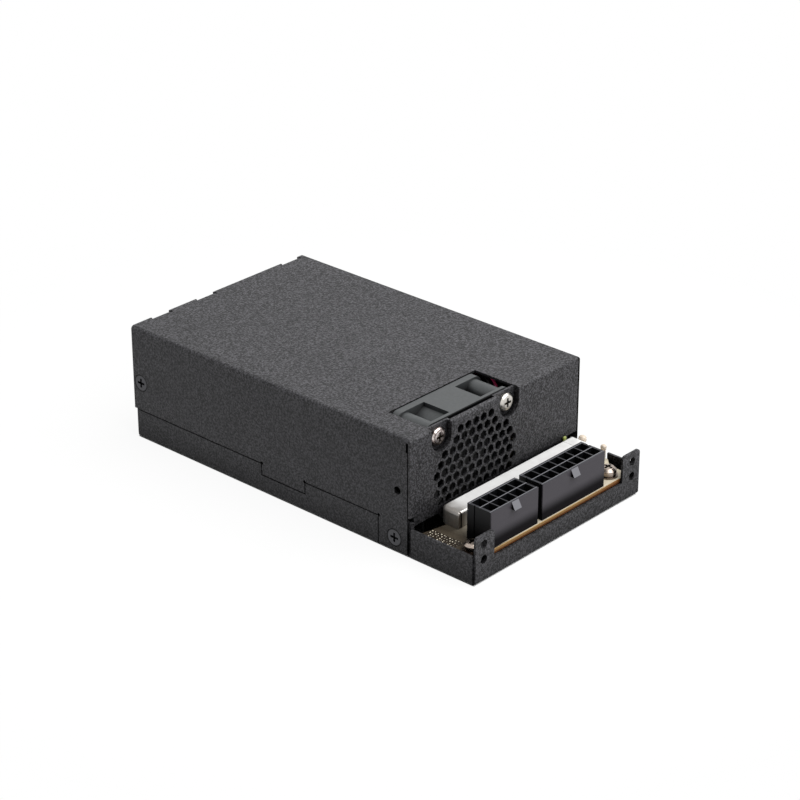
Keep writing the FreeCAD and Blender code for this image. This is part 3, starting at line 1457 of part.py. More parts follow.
TAIL_FRONT = "(-inlet_depth - blade_pin_tail)"
TAIL_FOOT = f"({BOARD_TOP} - {INLET_Z})"
inlet_blades = at_inlet(
    group(
        "inlet_blades",
        [
            fuse(
                f"inlet_blade_{name}",
                blade_block(f"inlet_pin_{name}", x, z, "0", TAIL_FRONT, f"{INLET_FLOOR} + blade_pin_reach"),
                box(
                    f"inlet_tail_{name}", (f"{x} - blade_pin_thick / 2", TAIL_FRONT, TAIL_FOOT),
                    (f"{x} + blade_pin_thick / 2", f"{TAIL_FRONT} + blade_pin_thick", z),
                ),
            )
            for name, (x, z) in BLADES.items()
        ],
    )
)
inlet_screws = group(
    "inlet_screws",
    [
        place(
            flat_screw(f"inlet_screw_{i}", "inlet_screw_head", "inlet_screw_shank", "inlet_screw_length"),
            f"{INLET_X} {sign} inlet_screw_pitch / 2", REAR, INLET_Z, "+Y",
        )
        for i, sign in enumerate("-+")
    ],
)


# Converter parts on the main board.
def can(name, radius, height, x, y):
    """Electrolytic capacitor: a crimped aluminium can on its base."""
    outline = [
        ("0", "0"), (radius, "0"), (radius, f"{height} - can_chamfer"), (f"{radius} - can_chamfer", height),
        ("0", height),
    ]
    return place(turned(name, outline), x, y, BOARD_TOP)


def moulded(name, width, depth, height, x, y, z):
    """Moulded block with rounded upright edges, centred on a place."""
    block = prism(
        name, "Z", "0", height,
        rectangle(f"-{width} / 2", f"-{depth} / 2", f"{width} / 2", f"{depth} / 2"),
    )
    round_edges(block, "mould_round", upright_edges)
    return place(block, x, y, z)


def leads(name, count, pitch, x, y, low, high):
    """Row of square component leads across X."""
    half = "(package_lead / 2)"
    row = []
    for i in range(count):
        middle = f"({x} + {i - (count - 1) / 2} * {pitch})"
        start = (f"{middle} - {half}", f"{y} - {half}", low)
        end = (f"{middle} + {half}", f"{y} + {half}", high)
        row.append(box(f"{name}_{i}", start, end))
    return row


# Across the case: choke, primary sink, transformer and secondary sink with its packages, with even gaps.
CHOKE_REACH = "(choke_outer + choke_wire)"
SINK_WIDTH = "(sink_thick + sink_fin)"
ROW_WIDTH = f"(2 * {CHOKE_REACH} + 2 * {SINK_WIDTH} + core_width + package_thick)"
ROW_GAP = f"((2 * {INSIDE} - {ROW_WIDTH}) / 5)"
CHOKE_X = f"({ROW_GAP} + {CHOKE_REACH} - {INSIDE})"
PRIMARY_X = f"({CHOKE_X} + {CHOKE_REACH} + {ROW_GAP})"
CORE_X = f"({PRIMARY_X} + {SINK_WIDTH} + {ROW_GAP} + core_width / 2)"
SECONDARY_X = f"({CORE_X} + core_width / 2 + {ROW_GAP} + package_thick)"

# Along the right side, from the inlet forwards: bulk capacitor, transformer, output capacitors and fan plug.
WINDING_Y = "(core_depth / 2 + winding_overhang)"
RIGHT_START = f"({MAIN_FRONT} + link_length / 2)"
RIGHT_END = f"({REAR} - inlet_depth - blade_pin_tail)"
RIGHT_LENGTH = f"(2 * bulk_radius + 2 * {WINDING_Y} + 2 * can_radius + fan_plug_depth)"
RIGHT_GAP = f"(({RIGHT_END} - {RIGHT_START} - {RIGHT_LENGTH}) / 5)"
BULK_Y = f"({RIGHT_END} - {RIGHT_GAP} - bulk_radius)"
CORE_Y = f"({BULK_Y} - bulk_radius - {RIGHT_GAP} - {WINDING_Y})"
CAN_Y = f"({CORE_Y} - {WINDING_Y} - {RIGHT_GAP} - can_radius)"
PLUG_Y = f"({RIGHT_START} + {RIGHT_GAP} + fan_plug_depth / 2)"

# Along the left side, from the rear forwards: line filter, X capacitor, choke and standby transformer.
LEFT_START = f"({MAIN_FRONT} + stud_inset_y + board_screw_head)"
LEFT_END = f"({REAR} - filter_margin)"
LEFT_LENGTH = f"(2 * filter_radius + xcap_depth + 2 * {CHOKE_REACH} + standby_side)"
LEFT_GAP = f"(({LEFT_END} - {LEFT_START} - {LEFT_LENGTH}) / 4)"
FILTER_Y = f"({LEFT_END} - filter_radius)"
XCAP_Y = f"({FILTER_Y} - filter_radius - {LEFT_GAP} - xcap_depth / 2)"
CHOKE_Y = f"({XCAP_Y} - xcap_depth / 2 - {LEFT_GAP} - {CHOKE_REACH})"
STANDBY_Y = f"({CHOKE_Y} - {CHOKE_REACH} - {LEFT_GAP} - standby_side / 2)"

bulk_capacitor = can(
    "bulk_capacitor", "bulk_radius", f"case_height - steel - {BOARD_TOP} - bulk_headroom",
    f"{INSIDE} - bulk_inset - bulk_radius", BULK_Y,
)
output_capacitors = group(
    "output_capacitors",
    [
        can(f"output_can_{i}", "can_radius", "can_height",
            f"{INSIDE} - can_inset - can_radius - {i} * can_pitch", CAN_Y)
        for i in range(SIZES["can_count"])
    ],
)

CHOKE = (CHOKE_X, CHOKE_Y, f"{BOARD_TOP} + choke_lift")
choke_core = place(ring("pfc_choke_core", "choke_outer", "choke_inner", "choke_height"), *CHOKE)
turns = []
for i in range(SIZES["choke_turns"]):
    loop = cut(
        f"choke_turn_{i}",
        box(f"choke_turn_outside_{i}", ("choke_inner - choke_wire", "-choke_wire / 2", "-choke_wire"),
            ("choke_outer + choke_wire", "choke_wire / 2", "choke_height + choke_wire")),
        box(f"choke_turn_inside_{i}", ("choke_inner - lap_gap", "-choke_wire", "-fit_gap"),
            ("choke_outer + fit_gap", "choke_wire", "choke_height + fit_gap")),
    )
    loop.Placement = FreeCAD.Placement(Vector(), Rotation(Vector(0, 0, 1), 360 * i / SIZES["choke_turns"]))
    turns.append(loop)
choke_winding = place(group("pfc_choke_winding", turns), *CHOKE)

# Transformer: a windowed core over the board and a coil round its middle leg.
CORE = (CORE_X, CORE_Y, BOARD_TOP)
core_windows = [
    box(f"core_window_{side}", (low, "-core_depth", "core_leg"), (high, "core_depth", "core_height - core_leg"))
    for side, low, high in (
        ("left", "core_leg - core_width / 2", "-core_leg"), ("right", "core_leg", "core_width / 2 - core_leg")
    )
]
transformer_core = place(
    cut(
        "transformer_core",
        box("core_block", ("-core_width / 2", "-core_depth / 2", "0"),
            ("core_width / 2", "core_depth / 2", "core_height")),
        *core_windows,
    ),
    *CORE,
)
WINDING_X = "(core_width / 2 - core_leg - winding_gap)"
winding_block = prism(
    "winding_block", "Z", "core_leg + winding_gap", "core_height - 2 * core_leg - 2 * winding_gap",
    rectangle(f"-{WINDING_X}", f"-{WINDING_Y}", WINDING_X, WINDING_Y),
)
round_edges(winding_block, "2 * mould_round", upright_edges)
transformer_winding = place(
    cut(
        "transformer_winding", winding_block,
        box("winding_leg", ("-core_leg - winding_gap / 2", "-core_depth / 2 - winding_gap / 2", "0"),
            ("core_leg + winding_gap / 2", "core_depth / 2 + winding_gap / 2", "core_height")),
    ),
    *CORE,
)


def heat_sink(name, x, start, length):
    """Upright plate along Y with fins on its right side."""
    top = "(case_height - steel - sink_headroom)"
    end = f"{start} + {length}"
    pieces = [box(f"{name}_plate", (x, start, BOARD_TOP), (f"{x} + sink_thick", end, top))]
    last = SIZES["sink_fin_count"] - 1
    for i in range(SIZES["sink_fin_count"]):
        low = f"({start} + {i / last} * ({length} - sink_fin_thick))"
        pieces.append(
            box(
                f"{name}_fin_{i}", (f"{x} + sink_thick / 2", low, f"{BOARD_TOP} + package_lift"),
                (f"{x} + sink_thick + sink_fin", f"{low} + sink_fin_thick", top),
            )
        )
    return fuse(name, *pieces)


def power_package(name, x, y):
    """Flat transistor package with three leads, its back on a sink's left side."""
    low = f"({BOARD_TOP} + package_lift)"
    pieces = [
        box(f"{name}_body", (f"{x} - package_thick", f"{y} - package_width / 2", low),
            (x, f"{y} + package_width / 2", f"{low} + package_height"))
    ]
    near_side = f"({x} - package_thick / 2)"
    for i in (-1, 0, 1):
        middle = f"({y} + {i} * lead_pitch)"
        pieces.append(
            box(
                f"{name}_lead_{i + 1}", (near_side, f"{middle} - package_lead / 2", BOARD_TOP),
                (f"{near_side} + package_lead", f"{middle} + package_lead / 2", f"{low} + package_lead"),
            )
        )
    return fuse(name, *pieces)


# The primary sink carries its packages in front of the choke, the secondary one beside the transformer.
PACKAGES_LENGTH = "(package_inset + package_pitch + package_width / 2)"
SINKS = {
    "primary": (PRIMARY_X, f"({CHOKE_Y} - {CHOKE_REACH} - {PACKAGES_LENGTH})", "sink_primary_length"),
    "secondary": (SECONDARY_X, f"({CORE_Y} - sink_secondary_length / 2)", "sink_secondary_length"),
}
sinks = []
packages = []
for sink, (x, start, length) in SINKS.items():
    sinks.append(heat_sink(f"{sink}_heatsink", x, start, length))
    for i in range(2):
        y = f"({start} + package_inset + {i} * package_pitch)"
        packages.append(power_package(f"package_{sink}_{i}", x, y))
power_transistors = group("power_transistors", packages)

line_filter = place(
    turned(
        "line_filter_choke",
        [
            ("filter_bore", "can_chamfer"), ("filter_bore + can_chamfer", "0"),
            ("filter_radius - can_chamfer", "0"), ("filter_radius", "can_chamfer"),
            ("filter_radius", "filter_height - can_chamfer"),
            ("filter_radius - can_chamfer", "filter_height"), ("filter_bore + can_chamfer", "filter_height"),
            ("filter_bore", "filter_height - can_chamfer"),
        ],
    ),
    f"filter_inset + filter_radius - {INSIDE}", FILTER_Y, BOARD_TOP,
)
x_capacitor = moulded(
    "x_capacitor", "xcap_width", "xcap_depth", "xcap_height",
    f"xcap_inset + xcap_width / 2 - {INSIDE}", XCAP_Y, BOARD_TOP,
)
standby_transformer = moulded(
    "standby_transformer", "standby_side", "standby_side", "standby_height",
    f"standby_inset + standby_side / 2 - {INSIDE}", STANDBY_Y, BOARD_TOP,
)
# In front of the inlet's tails, from the rear forwards: fuse, bridge rectifier and varistor.
FUSE_Y = f"({RIGHT_END} - fuse_gap - fuse_radius)"
FUSE_Z = f"({BOARD_TOP} + fuse_lift + fuse_radius)"
FUSE_LEFT = "(-fuse_x - fuse_length / 2)"
fuse_pieces = [rod("fuse_glass_tube", "fuse_glass", "fuse_length", FUSE_LEFT, FUSE_Y, FUSE_Z, "+X")]
for i, start in enumerate((FUSE_LEFT, f"({FUSE_LEFT} + fuse_length - fuse_cap)")):
    fuse_pieces.append(rod(f"fuse_cap_{i}", "fuse_radius", "fuse_cap", start, FUSE_Y, FUSE_Z, "+X"))
    middle = f"({start} + fuse_cap / 2)"
    fuse_pieces.append(
        box(
            f"fuse_clip_{i}", (f"{middle} - fuse_clip / 2", f"{FUSE_Y} - fuse_radius", BOARD_TOP),
            (f"{middle} + fuse_clip / 2", f"{FUSE_Y} + fuse_radius", f"{FUSE_Z} + fuse_radius / 2"),
        )
    )
mains_fuse = fuse("mains_fuse", *fuse_pieces)
BRIDGE_Y = f"({FUSE_Y} - fuse_radius - bridge_gap - bridge_thick / 2)"
bridge_rectifier = fuse(
    "bridge_rectifier",
    moulded("bridge_block", "bridge_width", "bridge_thick", "bridge_height", "-bridge_x", BRIDGE_Y,
            f"{BOARD_TOP} + package_lift"),
    *leads("bridge_lead", 4, "(bridge_width / 4)", "(-bridge_x)", BRIDGE_Y, BOARD_TOP,
           f"{BOARD_TOP} + package_lift + package_lead"),
)
VARISTOR_Y = f"({BRIDGE_Y} - bridge_thick / 2 - varistor_gap - varistor_thick / 2)"
varistor = fuse(
    "varistor",
    rod("varistor_disc", "varistor_radius", "varistor_thick", "-varistor_x",
        f"{VARISTOR_Y} - varistor_thick / 2", f"{BOARD_TOP} + package_lift + varistor_radius", "+Y"),
    *leads("varistor_lead", 2, "varistor_radius", "(-varistor_x)", VARISTOR_Y, BOARD_TOP,
           f"{BOARD_TOP} + package_lift + varistor_radius"),
)
PLUG_TOP = f"({BOARD_TOP} + fan_plug_height)"
fan_plug = moulded(
    "fan_plug", "fan_plug_width", "fan_plug_depth", "fan_plug_height", "fan_plug_x", PLUG_Y, BOARD_TOP
)


# Fan leads: each rises from the ledge of the fan's right pad, bends under the cover and drops to the fan plug.
def lead_points(name, back, pin_side):
    """Corners of a lead's path as bound points."""
    fan_side = f"({FAN_X} + {FAN_SIZE} / 2)"
    y = f"{FAN_Y} + {back}"
    pin_x = f"fan_plug_x + {pin_side} * lead_pitch / 2"
    under = "case_height - steel - lead_headroom"
    corners = [
        (f"{fan_side} - lead_outset", y, f"{FAN_Z} + side_pad_width / 2 + lap_gap"),
        (f"{fan_side} + lead_radius + lap_gap", y, under),
        (pin_x, PLUG_Y, f"{under} - lead_dip"),
        (pin_x, PLUG_Y, PLUG_TOP),
    ]
    points = []
    for i, corner in enumerate(corners):
        item = doc.addObject("Part::Vertex", f"{name}_point_{i}")
        for axis, text in zip("XYZ", corner):
            item.setExpression(axis, bound(text))
        points.append(item)
    doc.recompute()
    return [Vector(item.X, item.Y, item.Z) for item in points]


def tube_along(name, points, radius):
    """Round wire through straight runs joined by tangent arcs."""
    edges = []
    at = points[0]
    for before, corner, after in zip(points, points[1:], points[2:]):
        inward = (before - corner).normalize()
        outward = (after - corner).normalize()
        reach = 0.45 * min((before - corner).Length, (after - corner).Length)
        start = corner + inward * reach
        end = corner + outward * reach
        half_turn = (math.pi - inward.getAngle(outward)) / 2
        bend = reach / math.tan(half_turn)
        middle = (inward + outward).normalize()
        crown = corner + middle * (bend / math.cos(half_turn) - bend)
        print(f"{name}: bend radius {bend:.2f} mm")
        edges.append(Part.LineSegment(at, start).toShape())
        edges.append(Part.Arc(start, crown, end).toShape())
        at = end
    edges.append(Part.LineSegment(at, points[-1]).toShape())
    path = Part.Wire(edges)
    section = Part.Wire([Part.makeCircle(radius, points[0], points[1] - points[0])])
    item = doc.addObject("Part::Feature", name)
    item.Shape = path.makePipeShell([section], True, False)
    whole = math.pi * radius ** 2 * path.Length
    print(f"{name}: length {path.Length:.1f} mm, volume {item.Shape.Volume:.2f} of {whole:.2f} mm3")
    return item


LEAD_RADIUS = sheet.get("lead_radius")
red_points = lead_points("fan_lead_red", "lead_setback", 1)
lead_red = tube_along("fan_lead_red", red_points, LEAD_RADIUS)
black_points = lead_points("fan_lead_black", "lead_setback + lead_spacing", -1)
lead_black = tube_along("fan_lead_black", black_points, LEAD_RADIUS)

NODES = [
    top_cover, chassis_base, cover_screw_set,
    fan_frame, fan_rotor, fan_shaft, fan_magnet, fan_bearing, fan_stator, fan_windings, fan_screws,
    lead_red, lead_black, fan_plug,
    connector_board, *socket_nodes, bus_bar, board_screw_set, board_washer_set, tray_standoff_set,
    dipped_capacitors, thermistor, solder_strip,
    main_board, board_links, insulating_sheet, main_standoffs, main_screws,
    inlet_body, inlet_blades, inlet_screws,
    bulk_capacitor, output_capacitors, choke_core, choke_winding, transformer_core, transformer_winding,
    *sinks, power_transistors, line_filter, x_capacitor, standby_transformer, mains_fuse, bridge_rectifier,
    varistor,
]
doc.recompute()
for item in doc.Objects:
    if "Invalid" in item.State or "Error" in item.State:
        raise RuntimeError(f"{item.Label} failed: {item.State}")
os.makedirs("parts", exist_ok=True)
for item in NODES:
    item.Label = item.Name
    if item.Shape.isNull() or not item.Shape.isValid():
        raise RuntimeError(f"{item.Label} has no valid shape")
    item.Shape.exportStep(f"parts/{item.Label}.step")
print(f"{len(NODES)} nodes written")
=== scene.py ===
import math

import bpy
import numpy as np
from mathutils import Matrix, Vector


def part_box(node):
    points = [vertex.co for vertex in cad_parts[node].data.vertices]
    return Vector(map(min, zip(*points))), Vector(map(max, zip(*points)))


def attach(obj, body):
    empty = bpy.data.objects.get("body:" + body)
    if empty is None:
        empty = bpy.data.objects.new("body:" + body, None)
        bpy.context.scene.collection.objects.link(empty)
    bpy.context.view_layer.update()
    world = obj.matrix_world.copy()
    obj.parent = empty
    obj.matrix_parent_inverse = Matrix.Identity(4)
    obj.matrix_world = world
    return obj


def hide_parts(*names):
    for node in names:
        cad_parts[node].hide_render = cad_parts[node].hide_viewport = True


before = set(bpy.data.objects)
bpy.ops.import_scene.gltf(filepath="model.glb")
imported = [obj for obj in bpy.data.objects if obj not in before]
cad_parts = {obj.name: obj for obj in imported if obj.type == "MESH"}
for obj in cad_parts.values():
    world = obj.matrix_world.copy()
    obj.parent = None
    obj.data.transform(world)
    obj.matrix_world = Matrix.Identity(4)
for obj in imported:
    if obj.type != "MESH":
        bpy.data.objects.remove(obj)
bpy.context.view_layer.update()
scene = bpy.context.scene
scene.view_settings.view_transform = "Standard"


# Studio: the supply stands on a white sweep under one broad soft light, seen from its front left corner.
# The sweep is matt grey paper. It shows white to the camera and in gloss, keeps a faint contact shadow, and
# is dark under the case's own footprint.
def linear(code):
    """Linear colour of an sRGB hex code: each channel through the sRGB curve."""
    channels = np.array([int(code[i:i + 2], 16) for i in (1, 3, 5)]) / 255
    curve = np.where(channels <= 0.04045, channels / 12.92, ((channels + 0.055) / 1.055) ** 2.4)
    return (*curve.tolist(), 1.0)


def node(tree, kind, inputs=None, **settings):
    """Adds one node: settings are its properties, inputs are constants or (node, output) links.

    A colour mix takes its share on input 0 and its two colours on 6 and 7, and gives its result on output 2.
    """
    item = tree.nodes.new(kind)
    for name, value in settings.items():
        setattr(item, name, value)
    for socket, value in (inputs or {}).items():
        if isinstance(value, tuple) and isinstance(value[0], bpy.types.Node):
            tree.links.new(value[0].outputs[value[1]], item.inputs[socket])
        else:
            item.inputs[socket].default_value = value
    return item


def empty_material(name):
    """A new material and its node tree, with no node in it yet."""
    material = bpy.data.materials.new(name)
    material.use_nodes = True
    material.node_tree.nodes.clear()
    return material, material.node_tree


def white_rays(tree):
    """1 for rays that should see the plain white sweep: from the camera, in gloss or through glass."""
    path = node(tree, "ShaderNodeLightPath")
    gloss = node(
        tree, "ShaderNodeMath",
        {0: (path, "Is Glossy Ray"), 1: (path, "Is Transmission Ray")}, operation="MAXIMUM",
    )
    return node(tree, "ShaderNodeMath", {0: (path, "Is Camera Ray"), 1: (gloss, 0)}, operation="MAXIMUM")


AMBIENT = 0.31
scene.world = bpy.data.worlds.new("studio")
scene.world.use_nodes = True
sky = scene.world.node_tree
sky.nodes.clear()
strength = node(
    sky, "ShaderNodeMapRange", {"Value": (white_rays(sky), 0), "To Min": AMBIENT, "To Max": 1.0}
)
backdrop = node(sky, "ShaderNodeBackground", {"Color": linear("#ffffff"), "Strength": (strength, 0)})
node(sky, "ShaderNodeOutputWorld", {"Surface": (backdrop, 0)})

PAPER_MM = 2.0
FOOTPRINT = (0.0402, 0.0745)
SWEEP_SHADOW, SHADOW_NEAR, SHADOW_FAR = 0.08, 0.09, 0.2
paper, tree = empty_material("matt_white_paper")
place = node(tree, "ShaderNodeTexCoord")
grain = node(tree, "ShaderNodeTexNoise", {"Vector": (place, "Object"), "Scale": 1000 / PAPER_MM})
seen = white_rays(tree)
tint = node(
    tree, "ShaderNodeMix", {0: (grain, 0), 6: linear("#a6a6a6"), 7: linear("#b2b2b2")}, data_type="RGBA"
)
tint = node(tree, "ShaderNodeMix", {0: (seen, 0), 6: (tint, 2), 7: linear("#fdfdfd")}, data_type="RGBA")
lit = node(tree, "ShaderNodeBsdfDiffuse", {"Color": (tint, 2)})
glow = node(tree, "ShaderNodeEmission", {"Color": linear("#ffffff"), "Strength": 1.0})
spot = node(tree, "ShaderNodeSeparateXYZ", {0: (place, "Object")})
clear = [
    node(
        tree, "ShaderNodeMath",
        {0: (node(tree, "ShaderNodeMath", {0: (spot, i)}, operation="ABSOLUTE"), 0), 1: half},
        operation="GREATER_THAN",
    )
    for i, half in enumerate(FOOTPRINT)
]
clear = node(tree, "ShaderNodeMath", {0: (clear[0], 0), 1: (clear[1], 0)}, operation="MAXIMUM")
from_middle = node(tree, "ShaderNodeVectorMath", {0: (place, "Object")}, operation="LENGTH")
whiteness = node(
    tree, "ShaderNodeMapRange",
    {
        "Value": (from_middle, "Value"), "From Min": SHADOW_NEAR, "From Max": SHADOW_FAR,
        "To Min": 1 - SWEEP_SHADOW, "To Max": 1.0,
    },
)
share = node(tree, "ShaderNodeMath", {0: (seen, 0), 1: (whiteness, 0)}, operation="MULTIPLY")
share = node(tree, "ShaderNodeMath", {0: (share, 0), 1: (clear, 0)}, operation="MULTIPLY")
blend = node(tree, "ShaderNodeMixShader", {0: (share, 0), 1: (lit, 0), 2: (glow, 0)})
node(tree, "ShaderNodeOutputMaterial", {"Surface": (blend, 0)})

SWEEP_HALF, SWEEP_DROP = 3.0, 0.0002
corners = SWEEP_HALF * np.array([(-1, -1, 0), (1, -1, 0), (1, 1, 0), (-1, 1, 0)], float)
sweep_mesh = bpy.data.meshes.new("sweep")
sweep_mesh.from_pydata((corners - (0, 0, SWEEP_DROP)).tolist(), [], [(0, 1, 2, 3)])
sweep_mesh.materials.append(paper)
sweep = bpy.data.objects.new("sweep", sweep_mesh)
scene.collection.objects.link(sweep)

LIGHT_SIZE, LIGHT_POWER = 1.3, 21.0
LIGHT_PLACE, LIGHT_TILT = (0.3, -0.5, 1.0), (26, 15, 0)
light_data = bpy.data.lights.new("soft_box", "AREA")
light_data.size = LIGHT_SIZE
light_data.energy = LIGHT_POWER
soft_box = bpy.data.objects.new("soft_box", light_data)
soft_box.location = LIGHT_PLACE
soft_box.rotation_euler = [math.radians(angle) for angle in LIGHT_TILT]
scene.collection.objects.link(soft_box)

# Camera: it stands where the photograph's edges converge to, 26 degrees above the floor and 48 degrees to the
# left of the front, with a long lens that was fitted to the corners of the case.
SENSOR_MM, LENS_MM = 36, 116.70
CAMERA_PLACE = (-0.55571, -0.51415, 0.39612)
CAMERA_DROP, CAMERA_TURN = 26.22, -47.66
camera_data = bpy.data.cameras.new("camera")
camera_data.sensor_width = SENSOR_MM
camera_data.lens = LENS_MM
camera = bpy.data.objects.new("camera", camera_data)
camera.location = CAMERA_PLACE
camera.rotation_euler = (math.radians(90 - CAMERA_DROP), 0, math.radians(CAMERA_TURN))
scene.collection.objects.link(camera)
scene.camera = camera


# Chassis base and top cover: two shells folded from 0.8 mm steel sheet and finished in black powder coat.
# The powder melts to a fine wrinkle that scatters light, so that each face looks finely speckled. Folds and
# pockets carry painted shade: ambient occlusion darkens their colour and gloss. The cut front edge of the
# cover's right wall is painted shade, near black.
def dress(material, *names):
    """Gives CAD nodes a finish through their material slots."""
    for name in names:
        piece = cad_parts[name]
        if not piece.material_slots:
            piece.data.materials.append(material)
        for slot in piece.material_slots:
            slot.material = material


WRINKLE_MM, WRINKLE_HEIGHT = 0.66, 0.0003
CLOUD_MM, CLOUD_SHARE = 9.0, 0.4
COAT_GLOSS = 0.25
CREVICE, CREVICE_SHUT, CREVICE_OPEN, CREVICE_KEEP = 0.014, 0.2, 0.95, 0.1
WALL_EDGE, EDGE_KEEP = 0.0008, 0.08
TRAY_MIDDLE = -0.06
SQUARE_ON = 0.7
powder_coat, tree = empty_material("black_textured_powder_coat")
place = node(tree, "ShaderNodeTexCoord")
wrinkle = node(
    tree, "ShaderNodeTexNoise",
    {"Vector": (place, "Object"), "Scale": 1000 / WRINKLE_MM, "Detail": 2.0, "Roughness": 0.7},
)
crests = node(tree, "ShaderNodeMapRange", {"Value": (wrinkle, 0), "From Min": 0.42, "From Max": 0.66})
cloud = node(
    tree, "ShaderNodeTexNoise", {"Vector": (place, "Object"), "Scale": 1000 / CLOUD_MM, "Detail": 2.0}
)
haze = node(tree, "ShaderNodeMath", {0: (cloud, 0), 1: CLOUD_SHARE}, operation="MULTIPLY")
coat = node(
    tree, "ShaderNodeMix", {0: (crests, 0), 6: linear("#161617"), 7: linear("#5d5c60")}, data_type="RGBA"
)
coat = node(tree, "ShaderNodeMix", {0: (haze, 0), 6: (coat, 2), 7: linear("#29292b")}, data_type="RGBA")
# Painted shade: where ambient occlusion finds the coat closed in, its colour and gloss go towards black.
shade_occlusion = node(tree, "ShaderNodeAmbientOcclusion", {"Distance": CREVICE}, samples=8)
open_share = node(
    tree, "ShaderNodeMapRange",
    {
        "Value": (shade_occlusion, "AO"), "From Min": CREVICE_SHUT, "From Max": CREVICE_OPEN,
        "To Min": CREVICE_KEEP,
    },
)
at = node(tree, "ShaderNodeSeparateXYZ", {0: (place, "Object")})
facing = node(tree, "ShaderNodeSeparateXYZ", {0: (place, "Normal")})
# Painted shade: the front-facing cut edge of the right wall, behind the tray's middle, is painted near black.
at_right = node(
    tree, "ShaderNodeMath", {0: (at, 0), 1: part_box("top_cover")[1][0] - WALL_EDGE}, operation="GREATER_THAN"
)
forwards = node(tree, "ShaderNodeMath", {0: (facing, 1), 1: -SQUARE_ON}, operation="LESS_THAN")
behind_tray = node(tree, "ShaderNodeMath", {0: (at, 1), 1: TRAY_MIDDLE}, operation="GREATER_THAN")
painted_edge_shade = node(tree, "ShaderNodeMath", {0: (at_right, 0), 1: (forwards, 0)}, operation="MULTIPLY")
painted_edge_shade = node(tree, "ShaderNodeMath", {0: (painted_edge_shade, 0), 1: (behind_tray, 0)}, operation="MULTIPLY")
keep = node(tree, "ShaderNodeMapRange", {"Value": (painted_edge_shade, 0), "To Min": 1.0, "To Max": EDGE_KEEP})
keep = node(tree, "ShaderNodeMath", {0: (keep, 0), 1: (open_share, 0)}, operation="MULTIPLY")
coat = node(tree, "ShaderNodeMix", {0: (keep, 0), 6: linear("#000000"), 7: (coat, 2)}, data_type="RGBA")
gloss = node(tree, "ShaderNodeMath", {0: (keep, 0), 1: COAT_GLOSS}, operation="MULTIPLY")
rough = node(tree, "ShaderNodeMapRange", {"Value": (wrinkle, 0), "To Min": 0.62, "To Max": 0.42})
relief = node(
    tree, "ShaderNodeBump", {"Height": (wrinkle, 0), "Strength": 1.0, "Distance": WRINKLE_HEIGHT}
)
surface = node(
    tree, "ShaderNodeBsdfPrincipled",
    {
        "Base Color": (coat, 2), "Roughness": (rough, 0), "IOR": 1.5, "Specular IOR Level": (gloss, 0),
        "Normal": (relief, 0),
    },
)
node(tree, "ShaderNodeOutputMaterial", {"Surface": (surface, 0)})
dress(powder_coat, "chassis_base", "top_cover")


# Insulating film and brass posts: a clear polyester sheet lies on the floor under the main board, and turned
# brass posts, pressed into the floor, carry both boards.
def moulding(name, low, high, grain_mm, roughness, bump_mm=0.02, coat=0.0, gloss=0.5, uneven=0.06):
    """Moulded or dipped plastic: two close tones in a fine grain, with a shallow relief of the same grain."""
    material, tree = empty_material(name)
    place = node(tree, "ShaderNodeTexCoord")
    grain = node(
        tree, "ShaderNodeTexNoise",
        {"Vector": (place, "Object"), "Scale": 1000 / grain_mm, "Detail": 3.0, "Roughness": 0.5},
    )
    tone = node(tree, "ShaderNodeMix", {0: (grain, 0), 6: linear(low), 7: linear(high)}, data_type="RGBA")
    rough = node(
        tree, "ShaderNodeMapRange",
        {"Value": (grain, 0), "To Min": roughness - uneven, "To Max": roughness + uneven},
    )
    relief = node(
        tree, "ShaderNodeBump", {"Height": (grain, 0), "Strength": 0.35, "Distance": bump_mm / 1000}
    )
    surface = node(
        tree, "ShaderNodeBsdfPrincipled",
        {
            "Base Color": (tone, 2), "Roughness": (rough, 0), "IOR": 1.5, "Specular IOR Level": gloss,
            "Coat Weight": coat, "Coat Roughness": 0.08, "Normal": (relief, 0),
        },
    )
    node(tree, "ShaderNodeOutputMaterial", {"Surface": (surface, 0)})
    return material


def metal(
    name, low, high, grain_mm, roughness, stretch=(1, 1, 1), painted_shade_mm=0.0, bump_mm=0.03,
    polished=0.08, worn=0.1,
):
    """Bare or plated metal: two tones in a grain that may be drawn out along an axis, a gloss from polished
    to worn, and painted shade, dark brown, where ambient occlusion finds gaps up to painted_shade_mm wide."""
    material, tree = empty_material(name)
    place = node(
        tree, "ShaderNodeMapping",
        {"Vector": (node(tree, "ShaderNodeTexCoord"), "Object"), "Scale": stretch},
    )
    grain = node(
        tree, "ShaderNodeTexNoise",
        {"Vector": (place, 0), "Scale": 1000 / grain_mm, "Detail": 4.0, "Roughness": 0.6},
    )
    tone = node(tree, "ShaderNodeMix", {0: (grain, 0), 6: linear(low), 7: linear(high)}, data_type="RGBA")
    # Painted shade: ambient occlusion turns closed gaps dark brown.
    if painted_shade_mm:
        shade_occlusion = node(tree, "ShaderNodeAmbientOcclusion", {"Distance": painted_shade_mm / 1000}, samples=8)
        unshaded = node(
            tree, "ShaderNodeMapRange", {"Value": (shade_occlusion, "AO"), "From Min": 0.35, "From Max": 0.9}
        )
        tone = node(
            tree, "ShaderNodeMix", {0: (unshaded, 0), 6: linear("#2c211a"), 7: (tone, 2)}, data_type="RGBA"
        )
    rough = node(
        tree, "ShaderNodeMapRange",
        {"Value": (grain, 0), "To Min": roughness - polished, "To Max": roughness + worn},
    )
    relief = node(
        tree, "ShaderNodeBump", {"Height": (grain, 0), "Strength": 0.12, "Distance": bump_mm / 1000}
    )
    surface = node(
        tree, "ShaderNodeBsdfPrincipled",
        {"Base Color": (tone, 2), "Metallic": 1.0, "Roughness": (rough, 0), "Normal": (relief, 0)},
    )
    node(tree, "ShaderNodeOutputMaterial", {"Surface": (surface, 0)})
    return material


